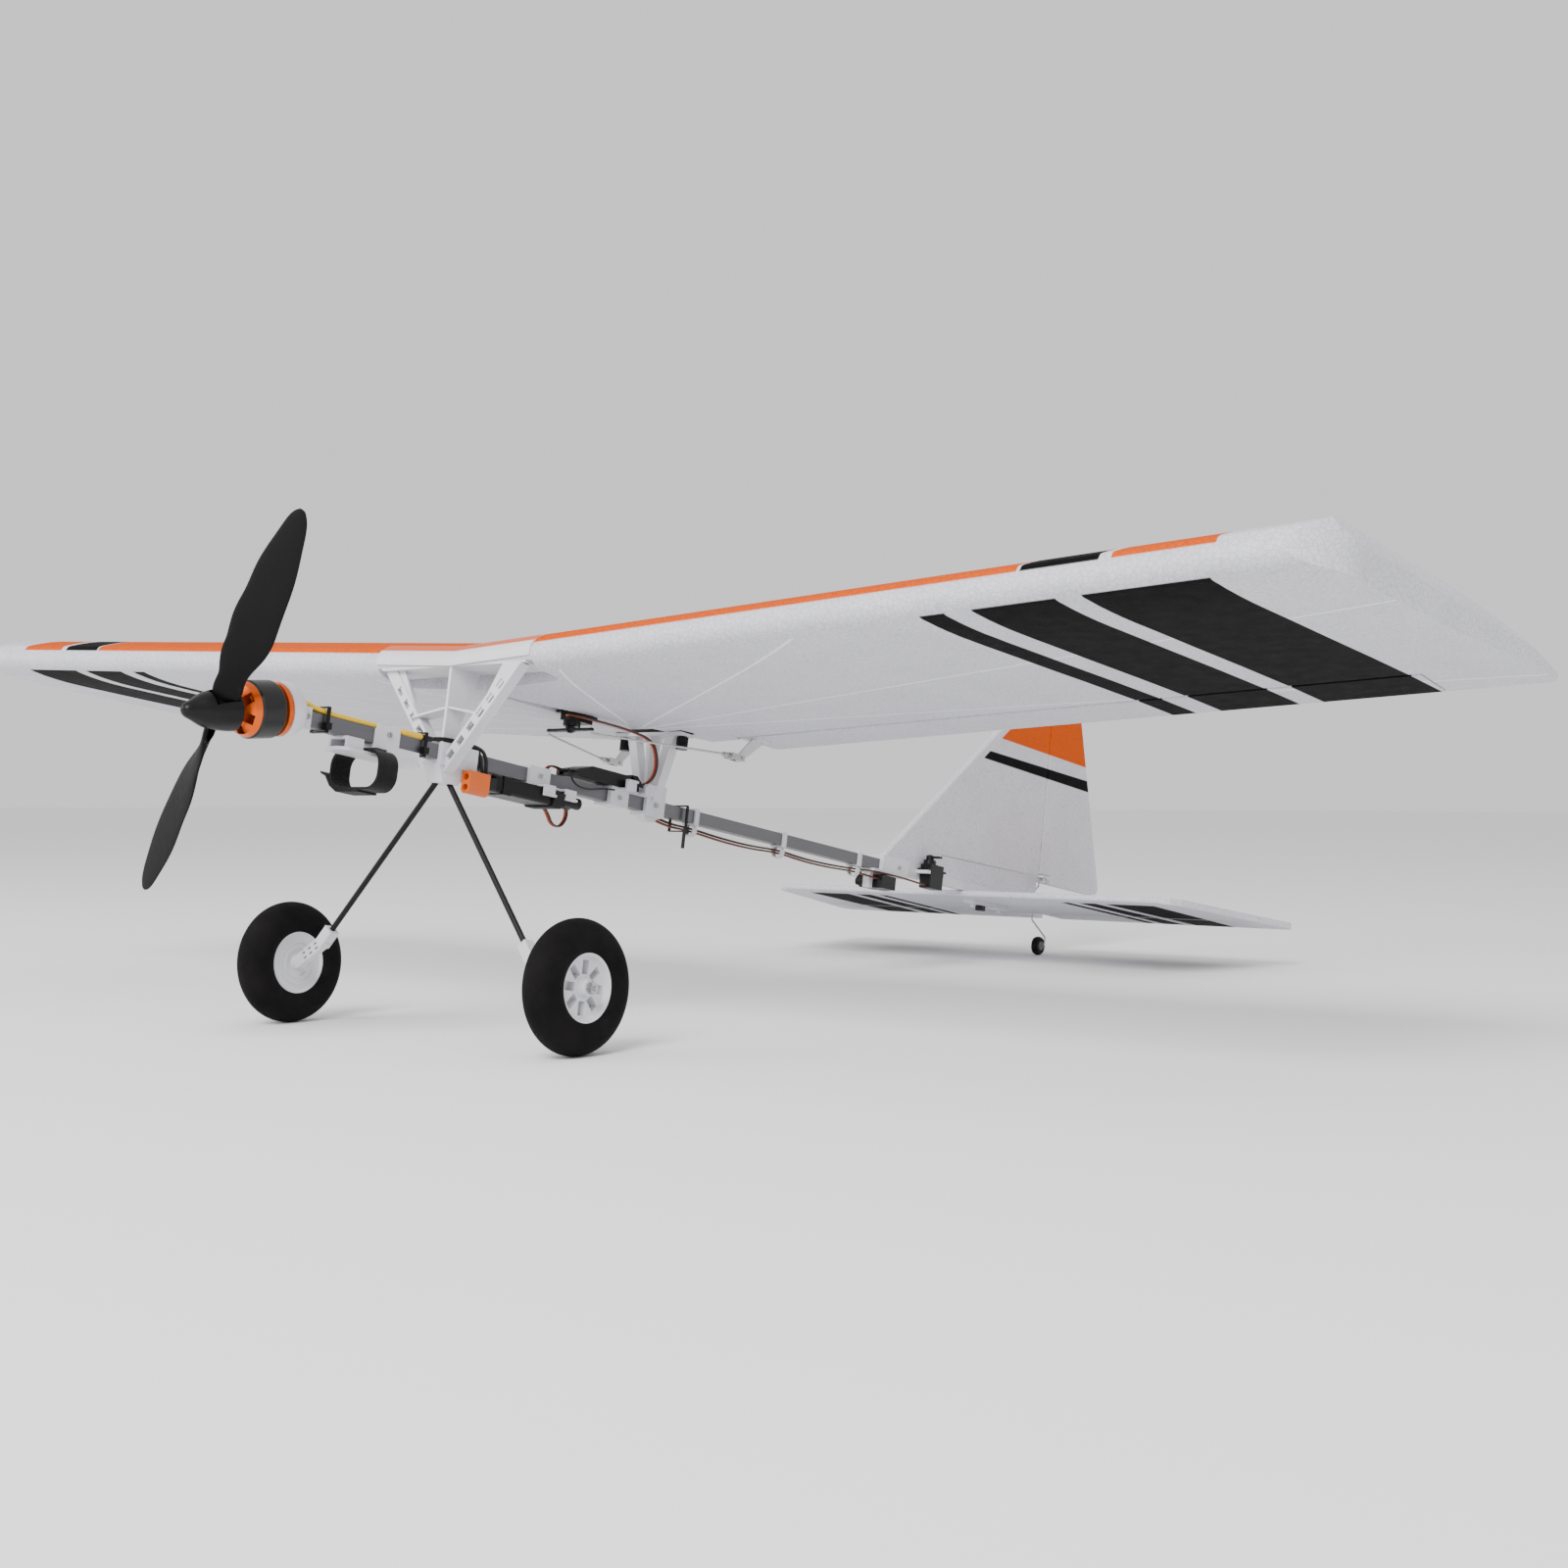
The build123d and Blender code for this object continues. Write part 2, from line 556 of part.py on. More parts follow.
def axle_bracket(side):
    """White arm from the foot of a leg to the axle; built for the port wheel."""
    foot_z = LEG_FOOT_Z
    foot_y = leg_y(1, foot_z)
    x_leg = LEG_X[side]
    sleeve_top = (leg_y(1, foot_z + 8), foot_z + 8)
    sleeve_end = (leg_y(1, foot_z - 3), foot_z - 3)
    sleeve = slat(sleeve_top, sleeve_end, 8.0, 8.0, x_leg)
    arm = slat((foot_y - 2, foot_z + 1), (WHEEL_Y - 17, WHEEL_Z), 9.0, 5.0, x_leg)
    lean = math.degrees(math.atan2(WHEEL_Y - 15 - foot_y, foot_z + 1 - WHEEL_Z))
    for k in range(3):
        along = 0.3 + 0.2 * k
        y = foot_y - 2 + (WHEEL_Y - 15 - foot_y) * along
        z = foot_z + 1 + (WHEEL_Z - foot_z - 1) * along
        for across in (-1.9, 1.9):
            arm -= Pos(x_leg, y, z) * Rot(lean, 0, 0) * Pos(0, across, 0) * Box(12, 1.8, 3.4)
    boss = Pos(WHEEL_X, WHEEL_Y - 16.5, WHEEL_Z) * Rot(90, 0, 0) * Cylinder(5.5, 7)
    shape = sleeve + arm + boss
    if x_leg != WHEEL_X:
        ends = sorted((x_leg, WHEEL_X))
        shape += block(ends[0], ends[1], WHEEL_Y - 20, WHEEL_Y - 13, WHEEL_Z - 4, WHEEL_Z + 4)
    shape -= bar((x_leg, leg_y(1, foot_z + 40), foot_z + 40), (x_leg, foot_y, foot_z), LEG_R)
    shape -= Pos(WHEEL_X, WHEEL_Y, WHEEL_Z) * Rot(90, 0, 0) * Cylinder(AXLE_R, 60)
    if side == -1:
        shape = to_starboard(shape)
    return shape


def axle():
    """Axle with the collar that keeps the port wheel on."""
    inner = WHEEL_Y - 20
    outer = WHEEL_Y + 17
    pin = Pos(WHEEL_X, (inner + outer) / 2, WHEEL_Z) * Rot(90, 0, 0) * Cylinder(AXLE_R, outer - inner)
    collar = Pos(WHEEL_X, WHEEL_Y + 13.4, WHEEL_Z) * Rot(90, 0, 0) * Cylinder(3.6, 3.6)
    screw = Pos(WHEEL_X, WHEEL_Y + 13.4, WHEEL_Z + 4.0) * Cylinder(1.0, 1.6)
    return pin + collar + screw


def about_axle(points):
    """Solid of revolution about the port axle, from (station outboard, radius) points."""
    face = make_face(Polyline([(0, y, r) for y, r in points], close=True))
    return Pos(WHEEL_X, WHEEL_Y, WHEEL_Z) * revolve(face, axis=Axis.Y)


def wheel_hub():
    """Spoked hub: outer web with eight spokes, ringed inner web."""
    bore = AXLE_R + RUN_FIT
    drum = about_axle([(-12.5, bore), (-12.5, 5.0), (-8.0, 6.0), (-8.0, 20.0), (-9.5, RIM_R), (9.5, RIM_R),
                       (8.6, 20.4), (5.6, 19.0), (5.6, 6.6), (11.2, 5.2), (11.2, bore)])
    for radius in (10.0, 14.5):
        drum += about_axle([(-8.8, radius), (-8.8, radius + 1.2), (-7.9, radius + 1.2), (-7.9, radius)])
    for k in range(8):
        pocket = Rot(0, 45 * k, 0) * Pos(0, 4.0, 13.0) * Box(5.6, 8.0, 9.0)
        drum -= Pos(WHEEL_X, WHEEL_Y, WHEEL_Z) * pocket
    return drum


def tyre():
    side = 12.6
    outline = [
        ThreePointArc((0, -9.4, RIM_R), (0, -side, 30.0), (0, -8.6, 40.2)),
        ThreePointArc((0, -8.6, 40.2), (0, 0, WHEEL_R), (0, 8.6, 40.2)),
        ThreePointArc((0, 8.6, 40.2), (0, side, 30.0), (0, 9.4, RIM_R)),
        Line((0, 9.4, RIM_R), (0, -9.4, RIM_R)),
    ]
    return Pos(WHEEL_X, WHEEL_Y, WHEEL_Z) * revolve(make_face(outline), axis=Axis.Y)


HUB_PORT = wheel_hub()
TYRE_PORT = tyre()
AXLE_PORT = axle()
parts["gear_legs"] = leg(1) + leg(-1)
parts["front_pylon"] = front_pylon()
parts["rear_pylon"] = rear_pylon()
parts["rear_pylon_pad"] = rear_pylon_pad()
parts["pylon_knobs"] = pylon_knobs()
parts["axle_brackets"] = axle_bracket(1) + axle_bracket(-1)
parts["axles"] = AXLE_PORT + to_starboard(AXLE_PORT)
parts["wheel_hub_port"] = HUB_PORT
parts["wheel_hub_starboard"] = to_starboard(HUB_PORT)
parts["tyre_port"] = TYRE_PORT
parts["tyre_starboard"] = to_starboard(TYRE_PORT)
parts["leading_cap"] = leading_cap(WING_PORT)

# ---------------------------------------------------------------- servos and control linkages


def servo():
    """9 g servo: output shaft up at the origin, mounting face of its lugs at z = 0."""
    case = block(-17.2, 5.8, -6, 6, -18, 4.5)
    case = fillet(case.edges().filter_by(Axis.Z), 0.8)
    lugs = block(-21.7, 10.3, -6, 6, -2, 0)
    for x in (-19.6, 8.2):
        lugs -= Pos(x, 0, -1) * Cylinder(1.0, 4)
        lugs -= Pos(x + (1.4 if x > 0 else -1.4), 0, -1) * Box(2.6, 1.0, 4)
    tower = Pos(0, 0, 6.4) * Cylinder(5.7, 4.2) + Pos(-6.2, 0, 6.4) * Cylinder(3.0, 4.2)
    shaft = Pos(0, 0, 10.0) * Cylinder(2.4, 3.0)
    return case + lugs + tower + shaft


def servo_arm(reach, both_ends=False):
    """Arm on the output shaft, pointing along +Y, with its retaining screw."""
    hub = Pos(0, 0, 10.8) * Cylinder(3.7, 3.8)
    width = 5.6
    tip = 3.8
    outline = Polyline([(-width / 2, 0), (-tip / 2, reach), (tip / 2, reach), (width / 2, 0)], close=True)
    plate = Pos(0, 0, 10.4) * extrude(make_face(outline), amount=1.8, dir=(0, 0, 1))
    plate += Pos(0, reach, 11.3) * Cylinder(tip / 2, 1.8)
    arm = hub + plate
    ends = [1]
    if both_ends:
        arm += Rot(0, 0, 180) * plate
        ends = [1, -1]
    for end in ends:
        arm -= Pos(0, end * reach, 11.3) * Cylinder(0.8 + RUN_FIT, 4)
        for share in (0.45, 0.72):
            arm -= Pos(0, end * reach * share, 11.3) * Cylinder(0.7, 4)
    arm -= Pos(0, 0, 10.1) * Cylinder(2.4 + RUN_FIT, 3.2)
    return arm + Pos(0, 0, 13.1) * Cylinder(2.0, 0.8)


def wire(points, radius):
    """Bent wire: straight runs joined by short bends."""
    bends = [min(bend, 3.0) for bend in cord_radii(points, share=0.35)]
    path = FilletPolyline(*points, radius=bends)
    start = Plane(origin=path @ 0, z_dir=path % 0)
    return sweep(start * Circle(radius), path=path)


def clevis(hole, forward, normal):
    """Open fork over a horn: it leads towards the servo, its jaws on both faces of the horn."""
    frame = Plane(origin=hole, x_dir=forward, z_dir=normal).location
    fork = block(8.6, 12.5, -2.3, 2.3, -4.1, 4.1)
    for side in (-1, 1):
        fork += block(-3.0, 9.0, -2.3, 2.3, side * 2.9, side * 4.1)
        fork += Pos(0, 0, side * 4.5) * Cylinder(1.2, 0.8)
    fork += Pos(15.5, 0, 0) * Rot(0, 90, 0) * Cylinder(1.8, 7.0)
    return frame * fork


ROD_R = 0.8
AIL_SHAFT = (-243.0, 0.0, 52.3)
AIL_REACH = 21.0
ELE_SHAFT = (-662.5, -4.5, -16.0)
ELE_REACH = 14.0
RUD_SHAFT = (-739.5, 10.5, 6.0)
RUD_REACH = 11.0
AIL_PLACE = Pos(*AIL_SHAFT) * Rot(180, 0, 0)
ELE_PLACE = Pos(*ELE_SHAFT) * Rot(90, 0, 0)
RUD_PLACE = Pos(*RUD_SHAFT)

ELE_HORN = (-940.0, -17.4, 11.0)
RUD_HORN = (-966.0, 13.5, 27.0)


def turned_hole():
    """Hole of the starboard aileron's horn, carried up with the aileron."""
    y = -HORN_HOLE[1]
    axis_z = HINGE_Z + HORN_HOLE[1] * math.tan(DIHEDRAL)
    dx = HORN_HOLE[0] - HINGE_X
    dz = HORN_HOLE[2] - axis_z
    c = math.cos(math.radians(AILERON_UP))
    s = math.sin(math.radians(AILERON_UP))
    return (HINGE_X + c * dx + s * dz, y, axis_z - s * dx + c * dz)


STARBOARD_HOLE = turned_hole()


def aileron_rod(hole, side):
    """Aileron pushrod with its clevis; the bent end stands in the servo arm's hole."""
    x = AIL_SHAFT[0]
    y = side * AIL_REACH
    low = AIL_SHAFT[2] - 14.0
    rod = wire([(x, y, AIL_SHAFT[2] - 9.4), (x, y, low), (x - 8.0, y + side * 3.2, low),
                (hole[0] + 19.0, hole[1], hole[2])], ROD_R)
    return rod + clevis(hole, (1, 0, 0), (0, 1, 0))


def elevator_rod():
    x = ELE_SHAFT[0]
    z = ELE_SHAFT[2] + ELE_REACH
    y = ELE_HORN[1] - 1.0
    points = [(x, ELE_SHAFT[1] - 9.4, z), (x, y, z), (x - 9, y, z + 0.3), (ELE_HORN[0] + 26, y, ELE_HORN[2] - 0.4),
              (ELE_HORN[0] + 19, ELE_HORN[1], ELE_HORN[2])]
    return wire(points, ROD_R) + clevis(ELE_HORN, (1, 0, 0), (0, 1, 0))


def rudder_rod():
    x = RUD_SHAFT[0]
    y = RUD_SHAFT[1] + RUD_REACH
    z = RUD_SHAFT[2] + 14.0
    points = [(x, y, RUD_SHAFT[2] + 9.4), (x, y, z), (x - 9, y, z + 0.2), (RUD_HORN[0] + 19, RUD_HORN[1], RUD_HORN[2])]
    return wire(points, ROD_R) + clevis(RUD_HORN, (1, 0, 0), (0, 0, 1))


parts["aileron_servo"] = AIL_PLACE * servo()
parts["aileron_servo_arm"] = AIL_PLACE * servo_arm(AIL_REACH, both_ends=True)
parts["aileron_rod_port"] = aileron_rod(HORN_HOLE, 1)
parts["aileron_rod_starboard"] = aileron_rod(STARBOARD_HOLE, -1)
parts["tail_servos"] = ELE_PLACE * servo() + RUD_PLACE * servo()
parts["elevator_servo_arm"] = ELE_PLACE * servo_arm(ELE_REACH)
parts["rudder_servo_arm"] = RUD_PLACE * servo_arm(RUD_REACH)
parts["elevator_rod"] = elevator_rod()
parts["rudder_rod"] = rudder_rod()

# ---------------------------------------------------------------- tail

ELEVATOR_Z = STAB_Z + 1.5       # hinge axis, near the upper face
ELEVATOR_HINGES = (-190.0, -75.0, 75.0, 190.0)
RUDDER_HINGES = (60.0, 140.0, 215.0)
KEEL_TOP = 4.0


def tail_mount():
    """Socket on the stick, keel under the fin, bracket under the stabiliser and servo seats."""
    body = block(-663, -707, -9, 9, -8, 9) + block(-649.5, -700, -9, 9, -8, -HALF)
    for x in (-649.5, -680.2):
        body += block(x, x - 6.2, -2.5, 4, -22.5, -7)
    body += block(-700, -905, -4, 4, STAB_Z + STAB_T / 2, KEEL_TOP)
    for x in (-728.0, -757.2):
        body += block(x, x - 5.0, 2, 16.5, 1.0, 4.0)
    body += block(-835, -905, -6, 6, STAB_Z - STAB_T / 2 - 4.5, STAB_Z - STAB_T / 2)
    body -= block(-852, -872, -3, 3, -40, STAB_Z - STAB_T / 2 - 1.5)
    for x in (-843.0, -896.0):
        body += Pos(x, 0, STAB_Z - 3) * Cylinder(2.0, 16)
    body -= block(STICK_END, -600, -HALF, HALF, -HALF, HALF)
    return body - screw_hole(TAIL_SCREW)


def stab_outline():
    """Plan of the whole horizontal tail."""
    half = [(STAB_LE, 0), (STAB_LE, STAB_HALF_LE - 14), (STAB_LE - 4, STAB_HALF_LE - 4),
            (STAB_LE - 14, STAB_HALF_LE + 2.6), (STAB_TE + 12, STAB_HALF_TE), (STAB_TE + 3, STAB_HALF_TE - 2),
            (STAB_TE, STAB_HALF_TE - 10), (STAB_TE, 0)]
    other = [(x, -y) for x, y in reversed(half[1:-1])]
    return Polyline(half + other, close=True)


def tail_plate():
    return plan_plate(stab_outline(), STAB_Z - STAB_T / 2, STAB_Z + STAB_T / 2)


def elevator_place(station):
    return Pos(ELEVATOR_X, station, ELEVATOR_Z)


def stabiliser():
    plate = tail_plate() & block(STAB_LE + 5, ELEVATOR_X + 0.8, -300, 300, -30, 20)
    front = plate.edges().filter_by(Axis.Y).group_by(Axis.X)[-1]
    plate = fillet(front, 2.4)
    for station in ELEVATOR_HINGES:
        plate -= elevator_place(station) * hinge_pocket()
    for x in (-843.0, -896.0):
        plate -= Pos(x, 0, STAB_Z) * Cylinder(2.0, 16)
    return plate


def elevator():
    bevel = side_plate([(ELEVATOR_X - 0.8, 20), (ELEVATOR_X - 0.8, ELEVATOR_Z), (ELEVATOR_X - 3.4, STAB_Z - 3.2),
                        (ELEVATOR_X - 3.4, -30), (STAB_TE - 9, -30), (STAB_TE - 9, 20)], -300, 300)
    plate = tail_plate() & bevel
    back = plate.edges().filter_by(Axis.Y).group_by(Axis.X)[0]
    plate = fillet(back, 1.8)
    plate -= block(-962, STAB_TE - 9, -12, 12, -30, 20)
    for station in ELEVATOR_HINGES:
        plate -= elevator_place(station) * hinge_pocket()
    return plate


def elevator_fittings():
    """Elevator horn and the moving knuckles."""
    top = STAB_Z + STAB_T / 2
    y = ELE_HORN[1]
    horn = side_plate([(-970, top), (-953, top), (ELE_HORN[0] + 2.6, ELE_HORN[2] - 1.5),
                       (ELE_HORN[0] + 1.2, ELE_HORN[2] + 2.6), (ELE_HORN[0] - 3.0, ELE_HORN[2] + 2.2)],
                      y - 0.8, y + 0.8)
    horn -= Pos(*ELE_HORN) * Rot(90, 0, 0) * Cylinder(0.8, 6)
    shapes = [horn, block(-972, -952.6, y - 4.5, y + 4.5, top, top + 1.2)]
    shapes += [elevator_place(station) * hinge_moving() for station in ELEVATOR_HINGES]
    return joined(shapes)


def rudder_place(height):
    return Pos(RUDDER_X, 0, height) * Rot(90, 0, 0)


def fin():
    outline = [(-675, 9), (-676, 13), (-940, 228), (-950, 238), (-958, 245), (-966.2, 248), (-966.2, 23.5),
               (-963, 23.5), (-963, KEEL_TOP), (-707, KEEL_TOP), (-707, 9)]
    plate = side_plate(outline, -FIN_T / 2, FIN_T / 2)
    slope = [edge for edge in plate.edges() if edge.length > 300]
    plate = fillet(slope, 2.6)
    for height in RUDDER_HINGES:
        plate -= rudder_place(height) * hinge_pocket(above=2.6 + 3)
    return plate


def rudder():
    front = RUDDER_X - 0.8
    outline = [(front, RUDDER_FOOT_Z), (-1094, RUDDER_FOOT_Z + 1), (-1102, 29), (-1104.5, 36), (-1020, 240),
               (-1012, 247), (-1000, 249.5), (front, 248.4)]
    plate = side_plate(outline, -FIN_T / 2, FIN_T / 2)
    trailing = [edge for edge in plate.edges() if 200 < edge.length < 222.0]
    plate = fillet(trailing, 2.2)
    for side in (-1, 1):
        wedge = Polyline([(front + 1, side * 0.6), (front + 1, side * 6), (front - 3.4, side * 6),
                          (front - 0.0, side * 0.6)], close=True)
        plate -= plan_plate(wedge, 0, 260)
    for height in RUDDER_HINGES:
        plate -= rudder_place(height) * hinge_pocket(above=2.6 + 3)
    plate -= Pos(-975, 0, RUDDER_FOOT_Z + 6) * Cylinder(0.8, 20)
    return plate


def rudder_fittings():
    """Rudder horn and the moving knuckles."""
    face = FIN_T / 2
    z = RUD_HORN[2]
    horn = plan_plate(Polyline([(-984, face), (-970.6, face), (RUD_HORN[0] + 2.4, RUD_HORN[1] - 1.5),
                                (RUD_HORN[0] + 1.6, RUD_HORN[1] + 2.4), (RUD_HORN[0] - 3.0, RUD_HORN[1] + 2.2)],
                               close=True), z - 0.8, z + 0.8)
    horn -= Pos(*RUD_HORN) * Cylinder(0.8, 6)
    shapes = [horn, block(-985, -970.6, face, face + 1.2, z - 2.8, z + 6)]
    shapes += [rudder_place(height) * hinge_moving() for height in RUDDER_HINGES]
    return joined(shapes)


def surface_hinges():
    """Fixed halves of all the hinges."""
    port = joined(aileron_place(station) * hinge_fixed() for station in AILERON_HINGES)
    shapes = [port, to_starboard(port)]
    shapes += [elevator_place(station) * hinge_fixed() for station in ELEVATOR_HINGES]
    shapes += [rudder_place(height) * hinge_fixed() for height in RUDDER_HINGES]
    return joined(shapes)


TAIL_WIRE_R = 0.8


def tail_wheel_wire():
    """Spring wire from the foot of the rudder down to the tail wheel's axle."""
    z = TAIL_WHEEL_Z
    x = TAIL_WHEEL_X
    points = [(-975, 0, 39.5), (-975, 0, 20), (RUDDER_X, 0, 14), (RUDDER_X, 0, -16), (x, 7.4, z + 9),
              (x, 7.4, z), (x, -7.0, z)]
    return wire(points, TAIL_WIRE_R) + Pos(x, -6.2, z) * Rot(90, 0, 0) * Cylinder(1.8, 1.6)


def tail_wheel():
    outline = make_face(Polyline([(0, -4.2, 0.85), (0, -4.2, 4.6), (0, -2.4, 5.2), (0, -3.9, 6.6), (0, -3.4, 8.6),
                                  (0, -1.4, 9.5), (0, 1.4, 9.5), (0, 3.4, 8.6), (0, 3.9, 6.6), (0, 2.4, 5.2),
                                  (0, 4.2, 4.6), (0, 4.2, 0.85)], close=True))
    return Pos(TAIL_WHEEL_X, 0, TAIL_WHEEL_Z) * revolve(outline, axis=Axis.Y)


PITCH = math.radians(9.407)     # nose-up angle on the ground
GROUND = math.sin(PITCH) * WHEEL_X + math.cos(PITCH) * WHEEL_Z - WHEEL_R
TAIL_WHEEL_Z = (GROUND + TAIL_WHEEL_R - math.sin(PITCH) * TAIL_WHEEL_X) / math.cos(PITCH)

parts["tail_mount"] = tail_mount()
parts["stabiliser"] = stabiliser()
parts["elevator"] = elevator()
parts["elevator_fittings"] = elevator_fittings()
parts["fin"] = fin()
parts["rudder"] = rudder()
parts["rudder_fittings"] = rudder_fittings()
parts["surface_hinges"] = surface_hinges()
parts["tail_wheel_wire"] = tail_wheel_wire()
parts["tail_wheel"] = tail_wheel()

# ---------------------------------------------------------------- what the stick carries


def battery_tray():
    """Tray clamped under the stick, with a slot for the strap."""
    body = block(-55, -74, -8.5, 8.5, -8, 7.5)
    floor = block(-26, -95, -11.5, 11.5, -14.6, -12.4)
    body += fillet(floor.edges().filter_by(Axis.Z), 7)
    for x0, x1 in ((-30, -44), (-64.5, -92)):
        for side in (-1, 1):
            body += block(x0, x1, side * 7.0, side * 9.0, -12.5, -HALF)
        body += block(x0, x1, -7.1, 7.1, -7.0, -HALF)
    body -= block(-44.6, -63.9, -40, 40, -12.2, -8.6)
    body -= block(-50, -80, -6.2, 6.2, HALF, 20)
    body -= block(-100, 0, -HALF, HALF, -HALF, HALF)
    return body - screw_hole(TRAY_SCREW)


STRAP_X = (-46.0, -62.0)


def battery_strap():
    """Hook-and-loop strap through the slot: a closed loop with its free end at starboard."""
    t = 1.6
    top = -10.2
    bottom = -37.0
    outer = RectangleRounded(48.0, top - bottom, 11.0)
    inner = RectangleRounded(48.0 - 2 * t, top - bottom - 2 * t, 9.4)
    loop = Rot(0, -90, 0) * Rot(0, 0, 90) * extrude(outer - inner, amount=16)
    ring = Pos(STRAP_X[0], 0, (top + bottom) / 2) * loop
    # second layer under the starboard half, ending in a free tail
    lap = make_face(Polyline([(0, 6, bottom), (0, 6, bottom - 1.4), (0, -16, bottom - 1.5), (0, -23, bottom + 2.6),
                              (0, -28, bottom + 9), (0, -33, bottom + 11), (0, -33.4, bottom + 12.4),
                              (0, -27, bottom + 10.6), (0, -21.6, bottom + 3.6), (0, -15.5, bottom)], close=True))
    return ring + Pos(STRAP_X[0], 0, 0) * extrude(lap, amount=16, dir=(-1, 0, 0))


WIRE_YS = (-4.4, 0.0, 4.4)


def motor_wires():
    """Three sleeved motor leads on the stick, each with its bullet connector."""
    shapes = []
    for y in WIRE_YS:
        route = [(20.5, y * 0.8, 11.0), (3.0, y * 0.8, 10.4), (-9.0, y * 0.9, 6.9), (-44.0, y, 6.55), (-78.0, y, 7.1)]
        shapes.append(cord(route, 1.5, "motor lead"))
        shapes.append(Pos(-87, y, 7.1) * Rot(0, 90, 0) * Cylinder(2.1, 18))
        shapes.append(Pos(-101, y, 7.1) * Rot(0, 90, 0) * Cylinder(1.9, 10))
    return joined(shapes)


def esc():
    """Speed controller under the stick, in heat-shrink, with its capacitors behind."""
    body = block(-160, -232, -13.5, 13.5, -19, -7)
    body = fillet(body.edges().filter_by(Axis.X), 2.5)
    body += block(-168, -176, -14.2, 14.2, -19.7, -6.9)
    for y in (-4.6, 4.6):
        body += Pos(-243.5, y, -12.4) * Rot(0, 90, 0) * Cylinder(4.3, 23)
    return body


def esc_leads():
    """Three leads from the bullets over the saddle to the controller, and its signal lead."""
    shapes = []
    routes = (
        [(-106.8, -4.4, 7.3), (-111.4, -4.2, 10.0), (-147, -6.2, 9.7), (-151, -8.6, 3.0), (-154.6, -8.8, -6.0),
         (-158.7, -7.6, -11.0)],
        [(-106.8, 0.0, 7.3), (-111.4, 2.6, 10.0), (-146, 4.6, 9.7), (-149.4, 7.8, 3.0), (-151.4, 7.6, -6.0),
         (-158.7, 3.0, -11.0)],
        [(-106.8, 4.4, 7.3), (-111.4, 5.4, 10.0), (-148.6, 7.4, 9.7), (-154.2, 8.4, 3.0), (-155.2, 8.0, -6.0),
         (-158.7, 6.6, -11.5)],
    )
    for route in routes:
        shapes.append(cord(route, 1.3, "controller lead"))
    for k in (-1, 0, 1):
        y = 1.4 * k - 11.6
        loop = [(-233.0, y, -15.2), (-240, y, -20.0), (-246, y, -29.0), (-256, y, -29.5), (-262, y, -20.0),
                (-258, y, -9.0), (-246, y + 0.8, -3.0), (-236, y + 1.6, 2.0), (-231, y + 2.4, 9.0),
                (-235.5, y + 3.2, 14.2), (-244.5, y + 4.0, 12.4)]
        shapes.append(cord(loop, 0.65, "controller signal lead"))
    return joined(shapes)


def battery_connector():
    """Battery plug beside the stick, with the boot that joins it to the controller."""
    plug = block(-133, -152, 8.6, 16.8, -24.6, -9.0)
    plug = chamfer(plug.edges().filter_by(Axis.X).group_by(Axis.Z)[0], 2.4)
    for z in (-20.4, -13.2):
        plug -= Pos(-134, 12.7, z) * Rot(0, 90, 0) * Cylinder(2.4, 9)
    return plug


def battery_boot():
    return block(-152, -160, 9.4, 16.0, -19.5, -10.2)


def holder(front, up):
    """Equipment clip: a clamp on the stick, a base plate and two pairs of hooks."""
    clamp = block(front, front - 20.5, -8.2, 8.2, -7.0, 7.0)
    base = block(front, front - 41, -9.0, 9.0, HALF, 7.0)
    hooks = []
    for x0, x1 in ((8, 19), (30, 41)):
        for side in (-1, 1):
            hooks.append(block(front - x0, front - x1, side * 8.8, side * 16.4, HALF + 0.4, 7.0))
            hooks.append(block(front - x0, front - x1, side * 14.6, side * 16.4, HALF + 0.4, 13.4))
            hooks.append(block(front - x0, front - x1, side * 14.6, side * 18.2, 11.8, 13.4))
    body = clamp + base + joined(hooks)
    if not up:
        body = mirror(body, about=Plane.XY)
    return body - block(front + 5, front - 60, -HALF, HALF, -HALF, HALF)


ESC_CLIP = -199.0
RECEIVER_CLIP = -286.0


def clip_holders():
    both = holder(ESC_CLIP, False) + holder(RECEIVER_CLIP, True)
    return both - screw_hole(ESC_CLIP_SCREW) - screw_hole(RECEIVER_CLIP_SCREW)


def strap_over(x0, x1, half_width, base, crest):
    """Elastic strap over a boxy unit, hooked at both sides; it runs upward from base to crest."""
    t = 1.2
    points = [(-17.4, base), (-16.6, base + 1.6), (-half_width - t, crest - 1), (-half_width + 0.6, crest + t),
              (half_width - 0.6, crest + t), (half_width + t, crest - 1), (16.6, base + 1.6), (17.4, base),
              (16.0, base), (15.2, base + 1.0), (half_width, crest - 0.8), (half_width - 0.8, crest),
              (-half_width + 0.8, crest), (-half_width, crest - 0.8), (-15.2, base + 1.0), (-16.0, base)]
    face = make_face(Polyline([(0, y, z) for y, z in points], close=True))
    return Pos(x0, 0, 0) * extrude(face, amount=x0 - x1, dir=(-1, 0, 0))


def holder_straps():
    under = strap_over(ESC_CLIP - 19.6, ESC_CLIP - 29.4, 13.5, 9.5, 19.0)
    over = strap_over(RECEIVER_CLIP - 19.6, RECEIVER_CLIP - 26.0, 11.0, 9.5, 17.4)
    return mirror(under, about=Plane.XY) + over


def receiver():
    """Receiver on top of the stick: a shallow case with a taper at both ends."""
    body = side_plate([(-245, 7), (-245, 12.5), (-262, 17.4), (-312, 17.4), (-314, 15.6), (-314, 7)], -11, 11)
    body = fillet(body.edges().filter_by(Axis.X).group_by(Axis.Z)[-1], 1.6)
    body -= block(-244, -249, -8, 8, 8.0, 11.2)
    body += block(-247.5, -249.2, -7.0, 7.0, 8.6, 10.8)
    return body


